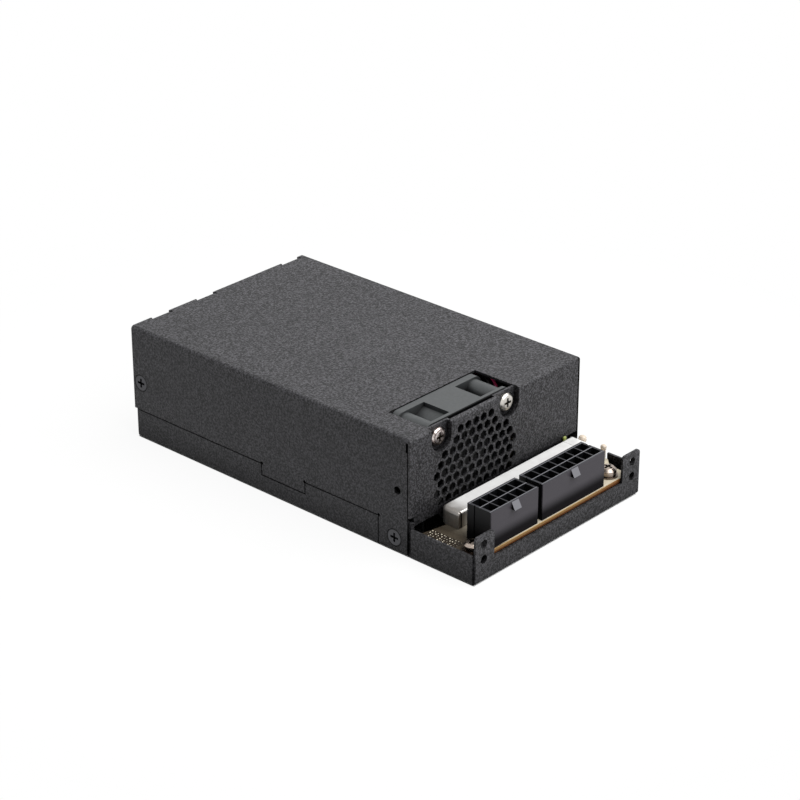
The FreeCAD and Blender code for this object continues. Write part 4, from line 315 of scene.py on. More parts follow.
film = moulding("clear_polyester_film", "#8f9193", "#a8aaab", grain_mm=6.0, roughness=0.22)
dress(film, "insulating_sheet")
brass = metal("turned_brass", "#b08a4a", "#cfae6c", grain_mm=0.8, roughness=0.28, stretch=(1, 1, 6))
dress(brass, "tray_standoffs", "main_standoffs")

# Circuit boards: paper and glass laminate, cream solder mask above and a bare golden edge where it was cut.
# The sheets of the laminate show as fine lines along the edge, which is scorched below and to the right. Flux
# The mask is painted shade towards the left end: dark brown, and near black where ambient occlusion finds the
# bus bar and the fan face close by.
LAMINATE_MM, WEAVE_MM = 0.4, 1.4
WAVE_RADIANS = 6.28
WEAVE_HEIGHT = 0.00004
CHAR_LOW, CHAR_HIGH = 0.0072, 0.0081
SCORCH_START, SCORCH_END = 0.016, 0.032
BROWN_START, BROWN_END = -0.022, -0.031
SHELTER = 0.012
laminate, tree = empty_material("epoxy_glass_laminate")
place = node(tree, "ShaderNodeTexCoord")
facing = node(tree, "ShaderNodeSeparateXYZ", {0: (place, "Normal")})
upward = node(tree, "ShaderNodeMapRange", {"Value": (facing, 2), "From Min": 0.4, "From Max": 0.6})
layers = node(
    tree, "ShaderNodeTexWave",
    {
        "Vector": (place, "Object"), "Scale": 1000 / LAMINATE_MM / WAVE_RADIANS, "Distortion": 1.5,
        "Detail": 2.0,
    },
    bands_direction="Z",
)
weave = node(
    tree, "ShaderNodeTexNoise", {"Vector": (place, "Object"), "Scale": 1000 / WEAVE_MM, "Detail": 3.0}
)
edge = node(
    tree, "ShaderNodeMix", {0: (layers, 1), 6: linear("#93703f"), 7: linear("#c9a671")}, data_type="RGBA"
)
across = node(tree, "ShaderNodeSeparateXYZ", {0: (place, "Object")})
charred = node(
    tree, "ShaderNodeMapRange",
    {"Value": (across, 2), "From Min": CHAR_LOW, "From Max": CHAR_HIGH, "To Min": 0.9, "To Max": 0.0},
)
scorched = node(
    tree, "ShaderNodeMapRange",
    {"Value": (across, 0), "From Min": SCORCH_START, "From Max": SCORCH_END, "To Min": 0.0, "To Max": 0.7},
)
edge = node(tree, "ShaderNodeMix", {0: (scorched, 0), 6: (edge, 2), 7: linear("#8a5228")}, data_type="RGBA")
edge = node(tree, "ShaderNodeMix", {0: (charred, 0), 6: (edge, 2), 7: linear("#5f331b")}, data_type="RGBA")
mask = node(
    tree, "ShaderNodeMix", {0: (weave, 0), 6: linear("#b3a994"), 7: linear("#d2c9b6")}, data_type="RGBA"
)
# Painted shade: the mask goes dark brown towards the left end.
left_end_shade = node(
    tree, "ShaderNodeMapRange",
    {"Value": (across, 0), "From Min": BROWN_START, "From Max": BROWN_END, "To Min": 0.0, "To Max": 0.9},
)
mask = node(tree, "ShaderNodeMix", {0: (left_end_shade, 0), 6: (mask, 2), 7: linear("#43382a")}, data_type="RGBA")
# Painted shade: ambient occlusion darkens the left end near black by the bus bar and the fan face.
shelter = node(tree, "ShaderNodeAmbientOcclusion", {"Distance": SHELTER}, samples=8)
shelter_shade = node(
    tree, "ShaderNodeMapRange",
    {"Value": (shelter, "AO"), "From Min": 0.45, "From Max": 0.97, "To Min": 1.0, "To Max": 0.0},
)
shelter_shade = node(tree, "ShaderNodeMath", {0: (shelter_shade, 0), 1: (left_end_shade, 0)}, operation="MULTIPLY")
mask = node(tree, "ShaderNodeMix", {0: (shelter_shade, 0), 6: (mask, 2), 7: linear("#120d09")}, data_type="RGBA")
board_tone = node(tree, "ShaderNodeMix", {0: (upward, 0), 6: (edge, 2), 7: (mask, 2)}, data_type="RGBA")
relief = node(tree, "ShaderNodeBump", {"Height": (weave, 0), "Strength": 0.2, "Distance": WEAVE_HEIGHT})
surface = node(
    tree, "ShaderNodeBsdfPrincipled",
    {
        "Base Color": (board_tone, 2), "Roughness": 0.42, "IOR": 1.5, "Specular IOR Level": 0.2,
        "Normal": (relief, 0),
    },
)
node(tree, "ShaderNodeOutputMaterial", {"Surface": (surface, 0)})
dress(laminate, "main_board", "connector_board")

# Converter parts on the main board: wound chokes and transformers, aluminium heat sinks with black packages,
# sleeved capacitors, a fuse and a varistor, all soldered to the board.
ferrite = moulding("pressed_ferrite", "#2c2c2d", "#454547", grain_mm=0.5, roughness=0.55, bump_mm=0.05)
dress(ferrite, "pfc_choke_core", "transformer_core", "line_filter_choke")
copper = metal("enamelled_copper_wire", "#8a4a22", "#b9703a", grain_mm=0.5, roughness=0.3, stretch=(1, 1, 4))
dress(copper, "pfc_choke_winding", "fan_windings")
tape = moulding("polyester_winding_tape", "#b08a1e", "#cfae3c", grain_mm=3.0, roughness=0.3, coat=0.3)
dress(tape, "transformer_winding", "standby_transformer")
extrusion = metal(
    "extruded_aluminium", "#a9abad", "#c6c8ca", grain_mm=0.6, roughness=0.34, stretch=(1, 1, 0.1)
)
dress(extrusion, "primary_heatsink", "secondary_heatsink")
package = moulding("epoxy_moulding_compound", "#161617", "#242425", grain_mm=0.25, roughness=0.5)
dress(package, "power_transistors", "bridge_rectifier")
sleeve = moulding("shrunk_pvc_sleeve", "#15171d", "#22252e", grain_mm=2.0, roughness=0.3, coat=0.3)
dress(sleeve, "bulk_capacitor", "output_capacitors")
dress(moulding("flame_retardant_box", "#b08812", "#c99f22", grain_mm=1.2, roughness=0.4), "x_capacitor")
dress(moulding("dipped_blue_epoxy", "#16305f", "#22437c", grain_mm=1.2, roughness=0.3, coat=0.4), "varistor")
fuse = moulding("fuse_glass_and_caps", "#8e9798", "#b7bfc0", grain_mm=2.0, roughness=0.12, coat=0.6)
dress(fuse, "mains_fuse")


# Straps and solder: tinned copper straps join the two boards, and rows of round solder joints stand along the
# connector board's left edge, where its tracks were flooded with tin.
def shell(rings):
    """Closed surface from rings of points: quads between neighbouring rings and a fan over each end."""
    count, around = rings.shape[:2]
    points = np.vstack([rings.reshape(-1, 3), rings[:1].mean(1), rings[-1:].mean(1)])
    index = np.arange(count * around).reshape(count, around)
    after = np.roll(index, -1, 1)
    quads = np.stack([index[:-1], after[:-1], after[1:], index[1:]], -1).reshape(-1, 4)
    hub = np.full(around, count * around)
    fans = np.vstack([
        np.stack([after[0], index[0], hub], -1), np.stack([index[-1], after[-1], hub + 1], -1),
    ])
    return points, quads, fans


def make_piece(name, material, shells):
    """One mesh of closed surfaces, each turned so that its faces point outwards: its signed volume, the sum
    of a . (b x c) over its triangles, is positive."""
    vertices, faces, start = [], [], 0
    for points, quads, fans in shells:
        parts = np.vstack([quads[:, [0, 1, 2]], quads[:, [0, 2, 3]], fans])
        a, b, c = (points[parts[:, i]] for i in range(3))
        if np.einsum("ij,ij->i", a, np.cross(b, c)).sum() < 0:
            quads, fans = quads[:, ::-1], fans[:, ::-1]
        vertices.append(points)
        faces += (quads + start).tolist() + (fans + start).tolist()
        start += len(points)
    mesh = bpy.data.meshes.new(name)
    mesh.from_pydata(np.vstack(vertices).tolist(), [], faces)
    mesh.polygons.foreach_set("use_smooth", np.ones(len(mesh.polygons), bool))
    mesh.materials.append(material)
    piece = bpy.data.objects.new(name, mesh)
    scene.collection.objects.link(piece)
    return piece


BEAD_PITCH, BEAD_RADIUS, BEAD_HEIGHT = 0.00115, 0.00042, 0.0002
BEAD_JITTER, BEAD_SMALLEST, BEAD_LARGEST = 0.2, 0.45, 1.1
BEAD_SEED = 4
TIN_GROUND = 0.2
TIN_FOOT, TIN_SHOULDER = 0.00009, 0.00013
DROSS_MM = 1.6


def bead_sheet(low, high, columns=56, outlines=150):
    """Tin sheet with beads: over a flat ground each bead adds a dome h * (1 - (d / r) ** 2) about its own
    centre, and the rings are outlines across X, from one end of Y to the other."""
    rng = np.random.default_rng(BEAD_SEED)
    xs = np.linspace(low[0], high[0], columns)
    ys = np.linspace(low[1], high[1], outlines)
    ground = low[2] + TIN_GROUND * (high[2] - low[2])
    rows = np.arange(low[0] + BEAD_PITCH / 2, high[0], BEAD_PITCH)
    lines = np.arange(low[1] + BEAD_PITCH / 2, high[1], BEAD_PITCH)
    centres = np.stack(np.meshgrid(rows, lines), -1).reshape(-1, 2)
    centres = centres + rng.uniform(-BEAD_JITTER, BEAD_JITTER, centres.shape) * BEAD_PITCH
    sizes = BEAD_RADIUS * rng.uniform(BEAD_SMALLEST, BEAD_LARGEST, len(centres))
    grid = np.stack(np.meshgrid(xs, ys), -1)
    away = np.linalg.norm(grid[:, :, None] - centres, axis=-1) / sizes
    domes = (BEAD_HEIGHT * (sizes / BEAD_RADIUS) * np.clip(1 - away ** 2, 0, None)).max(-1)
    top = np.dstack([grid, ground + domes])
    under = np.dstack([grid, np.full(grid.shape[:2], low[2])])[:, ::-1]
    return shell(np.concatenate([top, under], 1))


dress(metal("tinned_copper_strap", "#b9b5aa", "#ebe8df", grain_mm=0.7, roughness=0.34), "board_links")
strip_low, strip_high = (np.array(corner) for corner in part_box("solder_strip"))
joints, tree = empty_material("tin_beads_on_dark_brown_ground")
place = node(tree, "ShaderNodeTexCoord")
level = node(tree, "ShaderNodeSeparateXYZ", {0: (place, "Object")})
raised = node(
    tree, "ShaderNodeMapRange",
    {"Value": (level, 2), "From Min": strip_low[2] + TIN_FOOT, "From Max": strip_low[2] + TIN_SHOULDER},
)
dross = node(
    tree, "ShaderNodeTexNoise", {"Vector": (place, "Object"), "Scale": 1000 / DROSS_MM, "Detail": 2.0}
)
tin = node(
    tree, "ShaderNodeMix", {0: (dross, 0), 6: linear("#6a6353"), 7: linear("#b5ae9e")}, data_type="RGBA"
)
# The ground between the beads is dark brown.
tone = node(tree, "ShaderNodeMix", {0: (raised, 0), 6: linear("#2a2219"), 7: (tin, 2)}, data_type="RGBA")
surface = node(
    tree, "ShaderNodeBsdfPrincipled",
    {"Base Color": (tone, 2), "Metallic": (raised, 0), "Roughness": 0.36},
)
node(tree, "ShaderNodeOutputMaterial", {"Surface": (surface, 0)})
solder = make_piece("solder_beads", joints, [bead_sheet(strip_low, strip_high)])
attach(solder, "case")
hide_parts("solder_strip")


# Foot of the cover's right wall: the same coated sheet. Below the rounded lower corner of the fan face, the
# wall's front edge comes down beside it and closes the notch that the fold's relief leaves.
def wall_foot(low, high, round_radius, clearance, steps=12):
    """Rings across X, each a rectangle from the foot up to the corner z(x) = c - sqrt(r ** 2 - (x - a) ** 2),
    where a is the corner's centre, r to the left of the wall's outside, and c is r above the notch."""
    xs = np.linspace(low[0], high[0], steps)
    from_centre = xs - high[0] + round_radius
    top = high[2] + round_radius - np.sqrt(round_radius ** 2 - from_centre ** 2) - clearance
    rings = np.empty((len(xs), 4, 3))
    rings[..., 0] = xs[:, None]
    rings[..., 1] = (low[1], high[1], high[1], low[1])
    rings[:, :2, 2] = low[2]
    rings[:, 2:, 2] = top[:, None]
    return shell(rings)


FOOT_LOW, FOOT_HIGH, FOOT_DEPTH = 0.01065, 0.0138, 0.0012
FOOT_CLEAR, CORNER_ROUND = 0.00004, 0.0016
cover_low, cover_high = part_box("top_cover")
foot_low = (cover_high[0] - WALL_EDGE, cover_low[1], FOOT_LOW)
foot_high = (cover_high[0], cover_low[1] + FOOT_DEPTH - FOOT_CLEAR, FOOT_HIGH)
foot_shell = wall_foot(foot_low, foot_high, CORNER_ROUND, FOOT_CLEAR)
# Its front takes the coat's painted shade of the wall's cut edge, near black.
foot = make_piece("right_wall_foot", powder_coat, [foot_shell])
foot.data.polygons.foreach_set("use_smooth", np.zeros(len(foot.data.polygons), bool))
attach(foot, "case")

# Output sockets: two rows of square cells moulded in black nylon, with tin-plated brass pins pushed in from
# below. Nylon is satin outside. Painted shade and reflection darken it near the board and take its gloss
# there, and all behind the front face, the cells too, is painted shade. Painted highlights pale thin lines
# on the walls between the cells, the outer rims and the upward faces of the latch ramps, and the ramps'
# left sides are painted shade.
NYLON_MM, NYLON_HEIGHT, NYLON_GLOSS = 0.35, 0.000012, 0.2
RIM_DEPTH, LOOKS_UP = 0.0029, 0.25
CELL_PITCH, CELL_RIM, WALL_LINE = 0.0042, 0.0006, 0.00015
SHADE_LOW, SHADE_HIGH, SHADE_KEEP = 0.002, 0.0064, 0.1
SOCKET_FRONT, SKIN = -0.0733, 0.0004
socket_low, socket_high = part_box("header_14")
nylon, tree = empty_material("black_nylon_66")
place = node(tree, "ShaderNodeTexCoord")
at = node(tree, "ShaderNodeSeparateXYZ", {0: (place, "Object")})
facing = node(tree, "ShaderNodeSeparateXYZ", {0: (place, "Normal")})
grain = node(
    tree, "ShaderNodeTexNoise", {"Vector": (place, "Object"), "Scale": 1000 / NYLON_MM, "Detail": 2.0}
)
tone = node(
    tree, "ShaderNodeMix", {0: (grain, 0), 6: linear("#3d3a40"), 7: linear("#474449")}, data_type="RGBA"
)
# Painted shade and reflection: the nylon darkens and loses its gloss towards the board.
above_board = node(
    tree, "ShaderNodeMapRange",
    {
        "Value": (at, 2), "From Min": socket_low[2] + SHADE_LOW, "From Max": socket_low[2] + SHADE_HIGH,
        "To Min": SHADE_KEEP,
    },
    interpolation_type="SMOOTHSTEP",
)
tone = node(
    tree, "ShaderNodeMix", {0: (above_board, 0), 6: linear("#060506"), 7: (tone, 2)}, data_type="RGBA"
)
# Painted shade: all behind the front face, the cells' insides too, is painted near black.
behind_front = node(
    tree, "ShaderNodeMath", {0: (at, 1), 1: SOCKET_FRONT + SKIN}, operation="GREATER_THAN"
)
tone = node(
    tree, "ShaderNodeMix", {0: (behind_front, 0), 6: (tone, 2), 7: linear("#0d0e10")}, data_type="RGBA"
)
# Painted highlights: on the tops, thin lines along the walls between the cells, the outer rims and the ramps'
# upward faces are paler.
upward = node(tree, "ShaderNodeMath", {0: (facing, 2), 1: LOOKS_UP}, operation="GREATER_THAN")
high_up = node(
    tree, "ShaderNodeMath", {0: (at, 2), 1: socket_high[2] - RIM_DEPTH}, operation="GREATER_THAN"
)
wall_tops = node(tree, "ShaderNodeMath", {0: (upward, 0), 1: (high_up, 0)}, operation="MULTIPLY")
small_start, large_start = (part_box(name)[0][0] + CELL_RIM for name in ("header_10", "header_14"))
on_large = node(
    tree, "ShaderNodeMath", {0: (at, 0), 1: large_start - 2 * CELL_RIM}, operation="GREATER_THAN"
)
cell_start = node(
    tree, "ShaderNodeMapRange", {"Value": (on_large, 0), "To Min": small_start, "To Max": large_start}
)
from_start = node(tree, "ShaderNodeMath", {0: (at, 0), 1: (cell_start, 0)}, operation="SUBTRACT")
from_front = node(tree, "ShaderNodeMath", {0: (at, 1), 1: SOCKET_FRONT + CELL_RIM}, operation="SUBTRACT")
wall_away = [
    node(tree, "ShaderNodeMath", {0: (value, 0), 1: CELL_PITCH / 2}, operation="PINGPONG")
    for value in (from_start, from_front)
]
cross_line, long_line = (
    node(tree, "ShaderNodeMath", {0: (away, 0), 1: WALL_LINE}, operation="LESS_THAN") for away in wall_away
)
ramp = node(tree, "ShaderNodeMath", {0: (at, 1), 1: SOCKET_FRONT}, operation="LESS_THAN")
long_line = node(tree, "ShaderNodeMath", {0: (long_line, 0), 1: (ramp, 0)}, operation="MAXIMUM")
leftward = node(tree, "ShaderNodeMath", {0: (facing, 0), 1: -SQUARE_ON}, operation="LESS_THAN")
shaded_ramp_side = node(tree, "ShaderNodeMath", {0: (ramp, 0), 1: (leftward, 0)}, operation="MULTIPLY")
outside = node(tree, "ShaderNodeMath", {0: (from_start, 0), 1: (from_front, 0)}, operation="MINIMUM")
outer_rim = node(tree, "ShaderNodeMath", {0: (outside, 0), 1: 0.0}, operation="LESS_THAN")
painted_top_highlights = node(
    tree, "ShaderNodeMix", {0: (outer_rim, 0), 6: linear("#151618"), 7: linear("#37383c")}, data_type="RGBA"
)
painted_top_highlights = node(
    tree, "ShaderNodeMix", {0: (cross_line, 0), 6: (painted_top_highlights, 2), 7: linear("#3c3c40")}, data_type="RGBA"
)
painted_top_highlights = node(
    tree, "ShaderNodeMix", {0: (long_line, 0), 6: (painted_top_highlights, 2), 7: linear("#75757a")}, data_type="RGBA"
)
tone = node(tree, "ShaderNodeMix", {0: (wall_tops, 0), 6: (tone, 2), 7: (painted_top_highlights, 2)}, data_type="RGBA")
# Painted shade: the ramps' left sides are painted near black.
tone = node(
    tree, "ShaderNodeMix", {0: (shaded_ramp_side, 0), 6: (tone, 2), 7: linear("#060506")}, data_type="RGBA"
)
gloss = node(tree, "ShaderNodeMath", {0: (above_board, 0), 1: NYLON_GLOSS}, operation="MULTIPLY")
relief = node(tree, "ShaderNodeBump", {"Height": (grain, 0), "Strength": 0.3, "Distance": NYLON_HEIGHT})
surface = node(
    tree, "ShaderNodeBsdfPrincipled",
    {
        "Base Color": (tone, 2), "Roughness": 0.4, "IOR": 1.5, "Specular IOR Level": (gloss, 0),
        "Normal": (relief, 0),
    },
)
node(tree, "ShaderNodeOutputMaterial", {"Surface": (surface, 0)})
dress(nylon, "header_10", "header_14")
pin_metal = metal("tin_plated_brass", "#b7b09c", "#d9d4c4", grain_mm=0.5, roughness=0.3)
dress(pin_metal, "header_10_pins", "header_14_pins", "inlet_blades")

# Bus bar: a channel folded from tinned sheet and soldered to the board to carry the high current.
# The dip left it white and slightly uneven under a thin bloom. Its left end is more metallic and carries a
# painted reflection of the brown board, with painted shade, dark brown, where ambient occlusion finds it
# sheltered, and a narrow painted shade at the slit in its front wall.
FLOW_MM, FLOW_HEIGHT = 2.5, 0.00006
LEFT_END_FROM, LEFT_END_TO = -0.0215, -0.0275
SLIT_X, SLIT_HALF, SLIT_SHADE_HALF = -0.02705, 0.0002, 0.0005
FRONT_WALL = 0.0008
tinned, tree = empty_material("hot_dip_tinned_sheet")
place = node(tree, "ShaderNodeTexCoord")
along = node(tree, "ShaderNodeSeparateXYZ", {0: (place, "Object")})
flow = node(
    tree, "ShaderNodeTexNoise", {"Vector": (place, "Object"), "Scale": 1000 / FLOW_MM, "Detail": 3.0}
)
# Painted reflection: the left end is painted brown like the board it faces.
end_reflection = node(
    tree, "ShaderNodeMapRange",
    {"Value": (along, 0), "From Min": LEFT_END_FROM, "From Max": LEFT_END_TO, "To Min": 0.0, "To Max": 0.75},
)
end_reflection = node(tree, "ShaderNodeMath", {0: (end_reflection, 0), 1: (flow, 0)}, operation="MULTIPLY")
bright = node(
    tree, "ShaderNodeMix", {0: (flow, 0), 6: linear("#dfdedd"), 7: linear("#f1f1f0")}, data_type="RGBA"
)
bright = node(tree, "ShaderNodeMix", {0: (end_reflection, 0), 6: (bright, 2), 7: linear("#8a7558")}, data_type="RGBA")
# Painted shade: ambient occlusion darkens the left end to dark brown.
shelter = node(tree, "ShaderNodeAmbientOcclusion", {"Distance": SHELTER}, samples=8)
shelter_shade = node(
    tree, "ShaderNodeMapRange",
    {"Value": (shelter, "AO"), "From Min": 0.25, "From Max": 0.75, "To Min": 0.85, "To Max": 0.0},
)
at_end = node(
    tree, "ShaderNodeMapRange", {"Value": (along, 0), "From Min": LEFT_END_FROM, "From Max": LEFT_END_TO}
)
shelter_shade = node(tree, "ShaderNodeMath", {0: (shelter_shade, 0), 1: (at_end, 0)}, operation="MULTIPLY")
bright = node(
    tree, "ShaderNodeMix", {0: (shelter_shade, 0), 6: (bright, 2), 7: linear("#3d3126")}, data_type="RGBA"
)
# Painted shade: a narrow band at the slit in the front wall is painted near black.
slit_away = node(tree, "ShaderNodeMath", {0: (along, 0), 1: SLIT_X}, operation="SUBTRACT")
slit_away = node(tree, "ShaderNodeMath", {0: (slit_away, 0)}, operation="ABSOLUTE")
slit_near = node(
    tree, "ShaderNodeMapRange",
    {"Value": (slit_away, 0), "From Min": SLIT_HALF, "From Max": SLIT_SHADE_HALF, "To Min": 1.0, "To Max": 0.0},
)
in_front = node(
    tree, "ShaderNodeMath", {0: (along, 1), 1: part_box("bus_bar")[0][1] + FRONT_WALL}, operation="LESS_THAN"
)
slit_shade = node(tree, "ShaderNodeMath", {0: (slit_near, 0), 1: (in_front, 0)}, operation="MULTIPLY")
bright = node(
    tree, "ShaderNodeMix", {0: (slit_shade, 0), 6: (bright, 2), 7: linear("#1f170e")}, data_type="RGBA"
)
bare = node(
    tree, "ShaderNodeMapRange", {"Value": (end_reflection, 0), "From Max": 0.3, "To Min": 0.2, "To Max": 0.85}
)
rough = node(tree, "ShaderNodeMapRange", {"Value": (flow, 0), "To Min": 0.34, "To Max": 0.5})
relief = node(tree, "ShaderNodeBump", {"Height": (flow, 0), "Strength": 0.15, "Distance": FLOW_HEIGHT})
surface = node(
    tree, "ShaderNodeBsdfPrincipled",
    {"Base Color": (bright, 2), "Metallic": (bare, 0), "Roughness": (rough, 0), "Normal": (relief, 0)},
)
node(tree, "ShaderNodeOutputMaterial", {"Surface": (surface, 0)})
dress(tinned, "bus_bar")

# Board screws: pan heads pressed from wire and nickel plated, over split spring washers and flat washers.
# Painted shade, dark brown, lies in their recesses and between the washers.
nickel = metal("nickel_plated_steel", "#8d7f75", "#c0b4aa", grain_mm=0.6, roughness=0.26, painted_shade_mm=3.0)
dress(nickel, "board_screws", "board_washers", "main_board_screws")

# Fan screws: two nickel-plated pan heads in the pockets of the fan face, which hold the fan behind the
# grille. Their cross recesses are painted shade. The left head carries a painted reflection: it is darker
# and mottled brown, with a dark ring round its crown.
PLATE_MM, BLOTCH_MM = 0.6, 1.0
HEAD_RADIUS, RECESS_RADIUS, RECESS_DEPTH = 0.003, 0.0017, 0.0003
RING_RADIUS, RING_HALF = 0.00235, 0.00014
head_low, head_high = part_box("fan_screws")
heads_middle_x, heads_middle_z = ((head_low[i] + head_high[i]) / 2 for i in (0, 2))
heads_half_apart = (head_high[0] - head_low[0]) / 2 - HEAD_RADIUS
fan_screw_steel, tree = empty_material("nickel_plated_steel_shaded_recess")
place = node(tree, "ShaderNodeTexCoord")
at = node(tree, "ShaderNodeSeparateXYZ", {0: (place, "Object")})
grain = node(
    tree, "ShaderNodeTexNoise", {"Vector": (place, "Object"), "Scale": 1000 / PLATE_MM, "Detail": 3.0}
)
centre = node(tree, "ShaderNodeMath", {0: (at, 0), 1: heads_middle_x}, operation="SUBTRACT")
aside = node(tree, "ShaderNodeMath", {0: (centre, 0)}, operation="ABSOLUTE")
aside = node(tree, "ShaderNodeMath", {0: (aside, 0), 1: heads_half_apart}, operation="SUBTRACT")
lift = node(tree, "ShaderNodeMath", {0: (at, 2), 1: heads_middle_z}, operation="SUBTRACT")
on_head = node(tree, "ShaderNodeCombineXYZ", {0: (aside, 0), 1: (lift, 0)})
away = node(tree, "ShaderNodeVectorMath", {0: (on_head, 0)}, operation="LENGTH")
# Painted shade: the cross recesses are painted dark.
inside = node(tree, "ShaderNodeMath", {0: (away, "Value"), 1: RECESS_RADIUS}, operation="LESS_THAN")
sunk = node(
    tree, "ShaderNodeMapRange",
    {"Value": (at, 1), "From Min": head_low[1] + RECESS_DEPTH / 4, "From Max": head_low[1] + RECESS_DEPTH},
)
recess_shade = node(tree, "ShaderNodeMath", {0: (inside, 0), 1: (sunk, 0)}, operation="MULTIPLY")
tone = node(
    tree, "ShaderNodeMix", {0: (grain, 0), 6: linear("#c2bdb5"), 7: linear("#e2ded7")}, data_type="RGBA"
)
# Painted reflection: the left head is darker and mottled brown, with a dark ring round its crown.
blotches = node(
    tree, "ShaderNodeTexNoise", {"Vector": (place, "Object"), "Scale": 1000 / BLOTCH_MM, "Detail": 2.0}
)
reflection_mottle = node(tree, "ShaderNodeMapRange", {"Value": (blotches, 0), "From Min": 0.4, "From Max": 0.6})
left_head_reflection = node(
    tree, "ShaderNodeMix", {0: (reflection_mottle, 0), 6: linear("#7a6e6a"), 7: linear("#dcd3cf")}, data_type="RGBA"
)
ring = node(
    tree, "ShaderNodeMath", {0: (away, "Value"), 1: RING_RADIUS, 2: RING_HALF}, operation="COMPARE"
)
left_head_reflection = node(tree, "ShaderNodeMix", {0: (ring, 0), 6: (left_head_reflection, 2), 7: linear("#655b58")}, data_type="RGBA")
left_head = node(tree, "ShaderNodeMath", {0: (centre, 0), 1: 0.0}, operation="LESS_THAN")
tone = node(tree, "ShaderNodeMix", {0: (left_head, 0), 6: (tone, 2), 7: (left_head_reflection, 2)}, data_type="RGBA")
tone = node(tree, "ShaderNodeMix", {0: (recess_shade, 0), 6: (tone, 2), 7: linear("#635c50")}, data_type="RGBA")
surface = node(
    tree, "ShaderNodeBsdfPrincipled", {"Base Color": (tone, 2), "Metallic": 1.0, "Roughness": 0.28}
)
node(tree, "ShaderNodeOutputMaterial", {"Surface": (surface, 0)})
dress(fan_screw_steel, "fan_screws")


# Dipped capacitors and the fan's thermistor: small discs coated by dipping, so that the coating is fullest at
# the middle and runs down a little over the two tinned wires that carry each one.
def dipped_disc(centre, axis, radius, thick, run, around=40, rings=25, square=0.75):
    """Lens with full edges: across the disc's axis the half thickness is t * sqrt(1 - s ** 4) at a share s of
    the radius. Its outline is the rounded square (cos ** square, sin ** square), drawn down below by
    run * (share) ** 3."""
    turn = np.linspace(0, 2 * np.pi, around, endpoint=False)
    slope = np.linspace(-np.pi / 2, np.pi / 2, rings)[1:-1, None]
    share = np.cos(slope) ** 0.5
    side = np.sign(slope) * thick / 2 * np.sqrt(np.clip(1 - share ** 4, 0, 1))
    across = radius * share * np.sign(np.cos(turn)) * np.abs(np.cos(turn)) ** square
    up = radius * share * np.sign(np.sin(turn)) * np.abs(np.sin(turn)) ** square
    up = up - run * np.clip(-up / radius, 0, 1) ** 3 * share
    wide = np.cross((0, 0, 1), axis)
    return shell(
        np.asarray(centre) + side[..., None] * np.asarray(axis, float)
        + across[..., None] * wide + up[..., None] * np.array((0, 0, 1.0))
    )


def wire(start, end, bow, radius, steps=16, around=12):
    """Round wire from start to end: its middle leaves the straight line by bow * sin(pi * t)."""
    t = np.linspace(0, 1, steps)[:, None]
    line = np.asarray(start) * (1 - t) + np.asarray(end) * t + np.asarray(bow) * np.sin(np.pi * t)
    turn = np.linspace(0, 2 * np.pi, around, endpoint=False)
    ring = radius * np.stack([np.cos(turn), np.sin(turn), 0 * turn], -1)
    return shell(line[:, None] + ring)


def dipped(name, low, high, grain_mm, wire_top, bump_mm=0.02, wire_metallic=0.2):
    """Coating in two close tones down to a height, and bare tinned wire below it, dulled by flux."""
    material, tree = empty_material(name)
    place = node(tree, "ShaderNodeTexCoord")
    at = node(tree, "ShaderNodeSeparateXYZ", {0: (place, "Object")})
    grain = node(
        tree, "ShaderNodeTexNoise", {"Vector": (place, "Object"), "Scale": 1000 / grain_mm, "Detail": 3.0}
    )
    bare = node(tree, "ShaderNodeMath", {0: (at, 2), 1: wire_top}, operation="LESS_THAN")
    tone = node(tree, "ShaderNodeMix", {0: (grain, 0), 6: linear(low), 7: linear(high)}, data_type="RGBA")
    tin = node(
        tree, "ShaderNodeMix", {0: (grain, 0), 6: linear("#c9c6bf"), 7: linear("#ebe9e3")}, data_type="RGBA"
    )
    tone = node(tree, "ShaderNodeMix", {0: (bare, 0), 6: (tone, 2), 7: (tin, 2)}, data_type="RGBA")
    metallic = node(tree, "ShaderNodeMath", {0: (bare, 0), 1: wire_metallic}, operation="MULTIPLY")
    relief = node(
        tree, "ShaderNodeBump", {"Height": (grain, 0), "Strength": 0.35, "Distance": bump_mm / 1000}
    )
    surface = node(
        tree, "ShaderNodeBsdfPrincipled",
        {"Base Color": (tone, 2), "Metallic": (metallic, 0), "Roughness": 0.36, "Normal": (relief, 0)},
    )
    node(tree, "ShaderNodeOutputMaterial", {"Surface": (surface, 0)})
    return material


WIRE_RADIUS, WIRE_SIDES = 0.0003, (-0.5, 0.5)
DISC_RADIUS, DISC_THICK, FRONT_DISC = 0.0013, 0.0022, 0.75
DISC_RUN, DISC_SKIRT, DISC_BOW = 0.0006, 0.0005, 0.0003
disc_low, disc_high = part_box("dipped_capacitors")
disc_x = (disc_low[0] + disc_high[0]) / 2
disc_z = disc_high[2] - DISC_RADIUS
tan_coating = dipped(
    "dipped_tan_epoxy", "#cbb8a2", "#e6dbcd", grain_mm=0.9, wire_top=disc_z - DISC_RADIUS - DISC_SKIRT
)
disc_shells = []
for y, size in ((disc_low[1] + DISC_RADIUS, FRONT_DISC), (disc_high[1] - DISC_RADIUS, 1.0)):
    radius = size * DISC_RADIUS
    disc_shells.append(dipped_disc((disc_x, y, disc_z), (1, 0, 0), radius, size * DISC_THICK, DISC_RUN))
    for side in WIRE_SIDES:
        wire_foot = (disc_x, y + side * radius, disc_low[2])
        wire_head = (disc_x, y + side * radius, disc_z)
        disc_shells.append(wire(wire_foot, wire_head, (0, side * DISC_BOW, 0), WIRE_RADIUS))
discs = make_piece("dipped_discs", tan_coating, disc_shells)
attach(discs, "case")
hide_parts("dipped_capacitors")

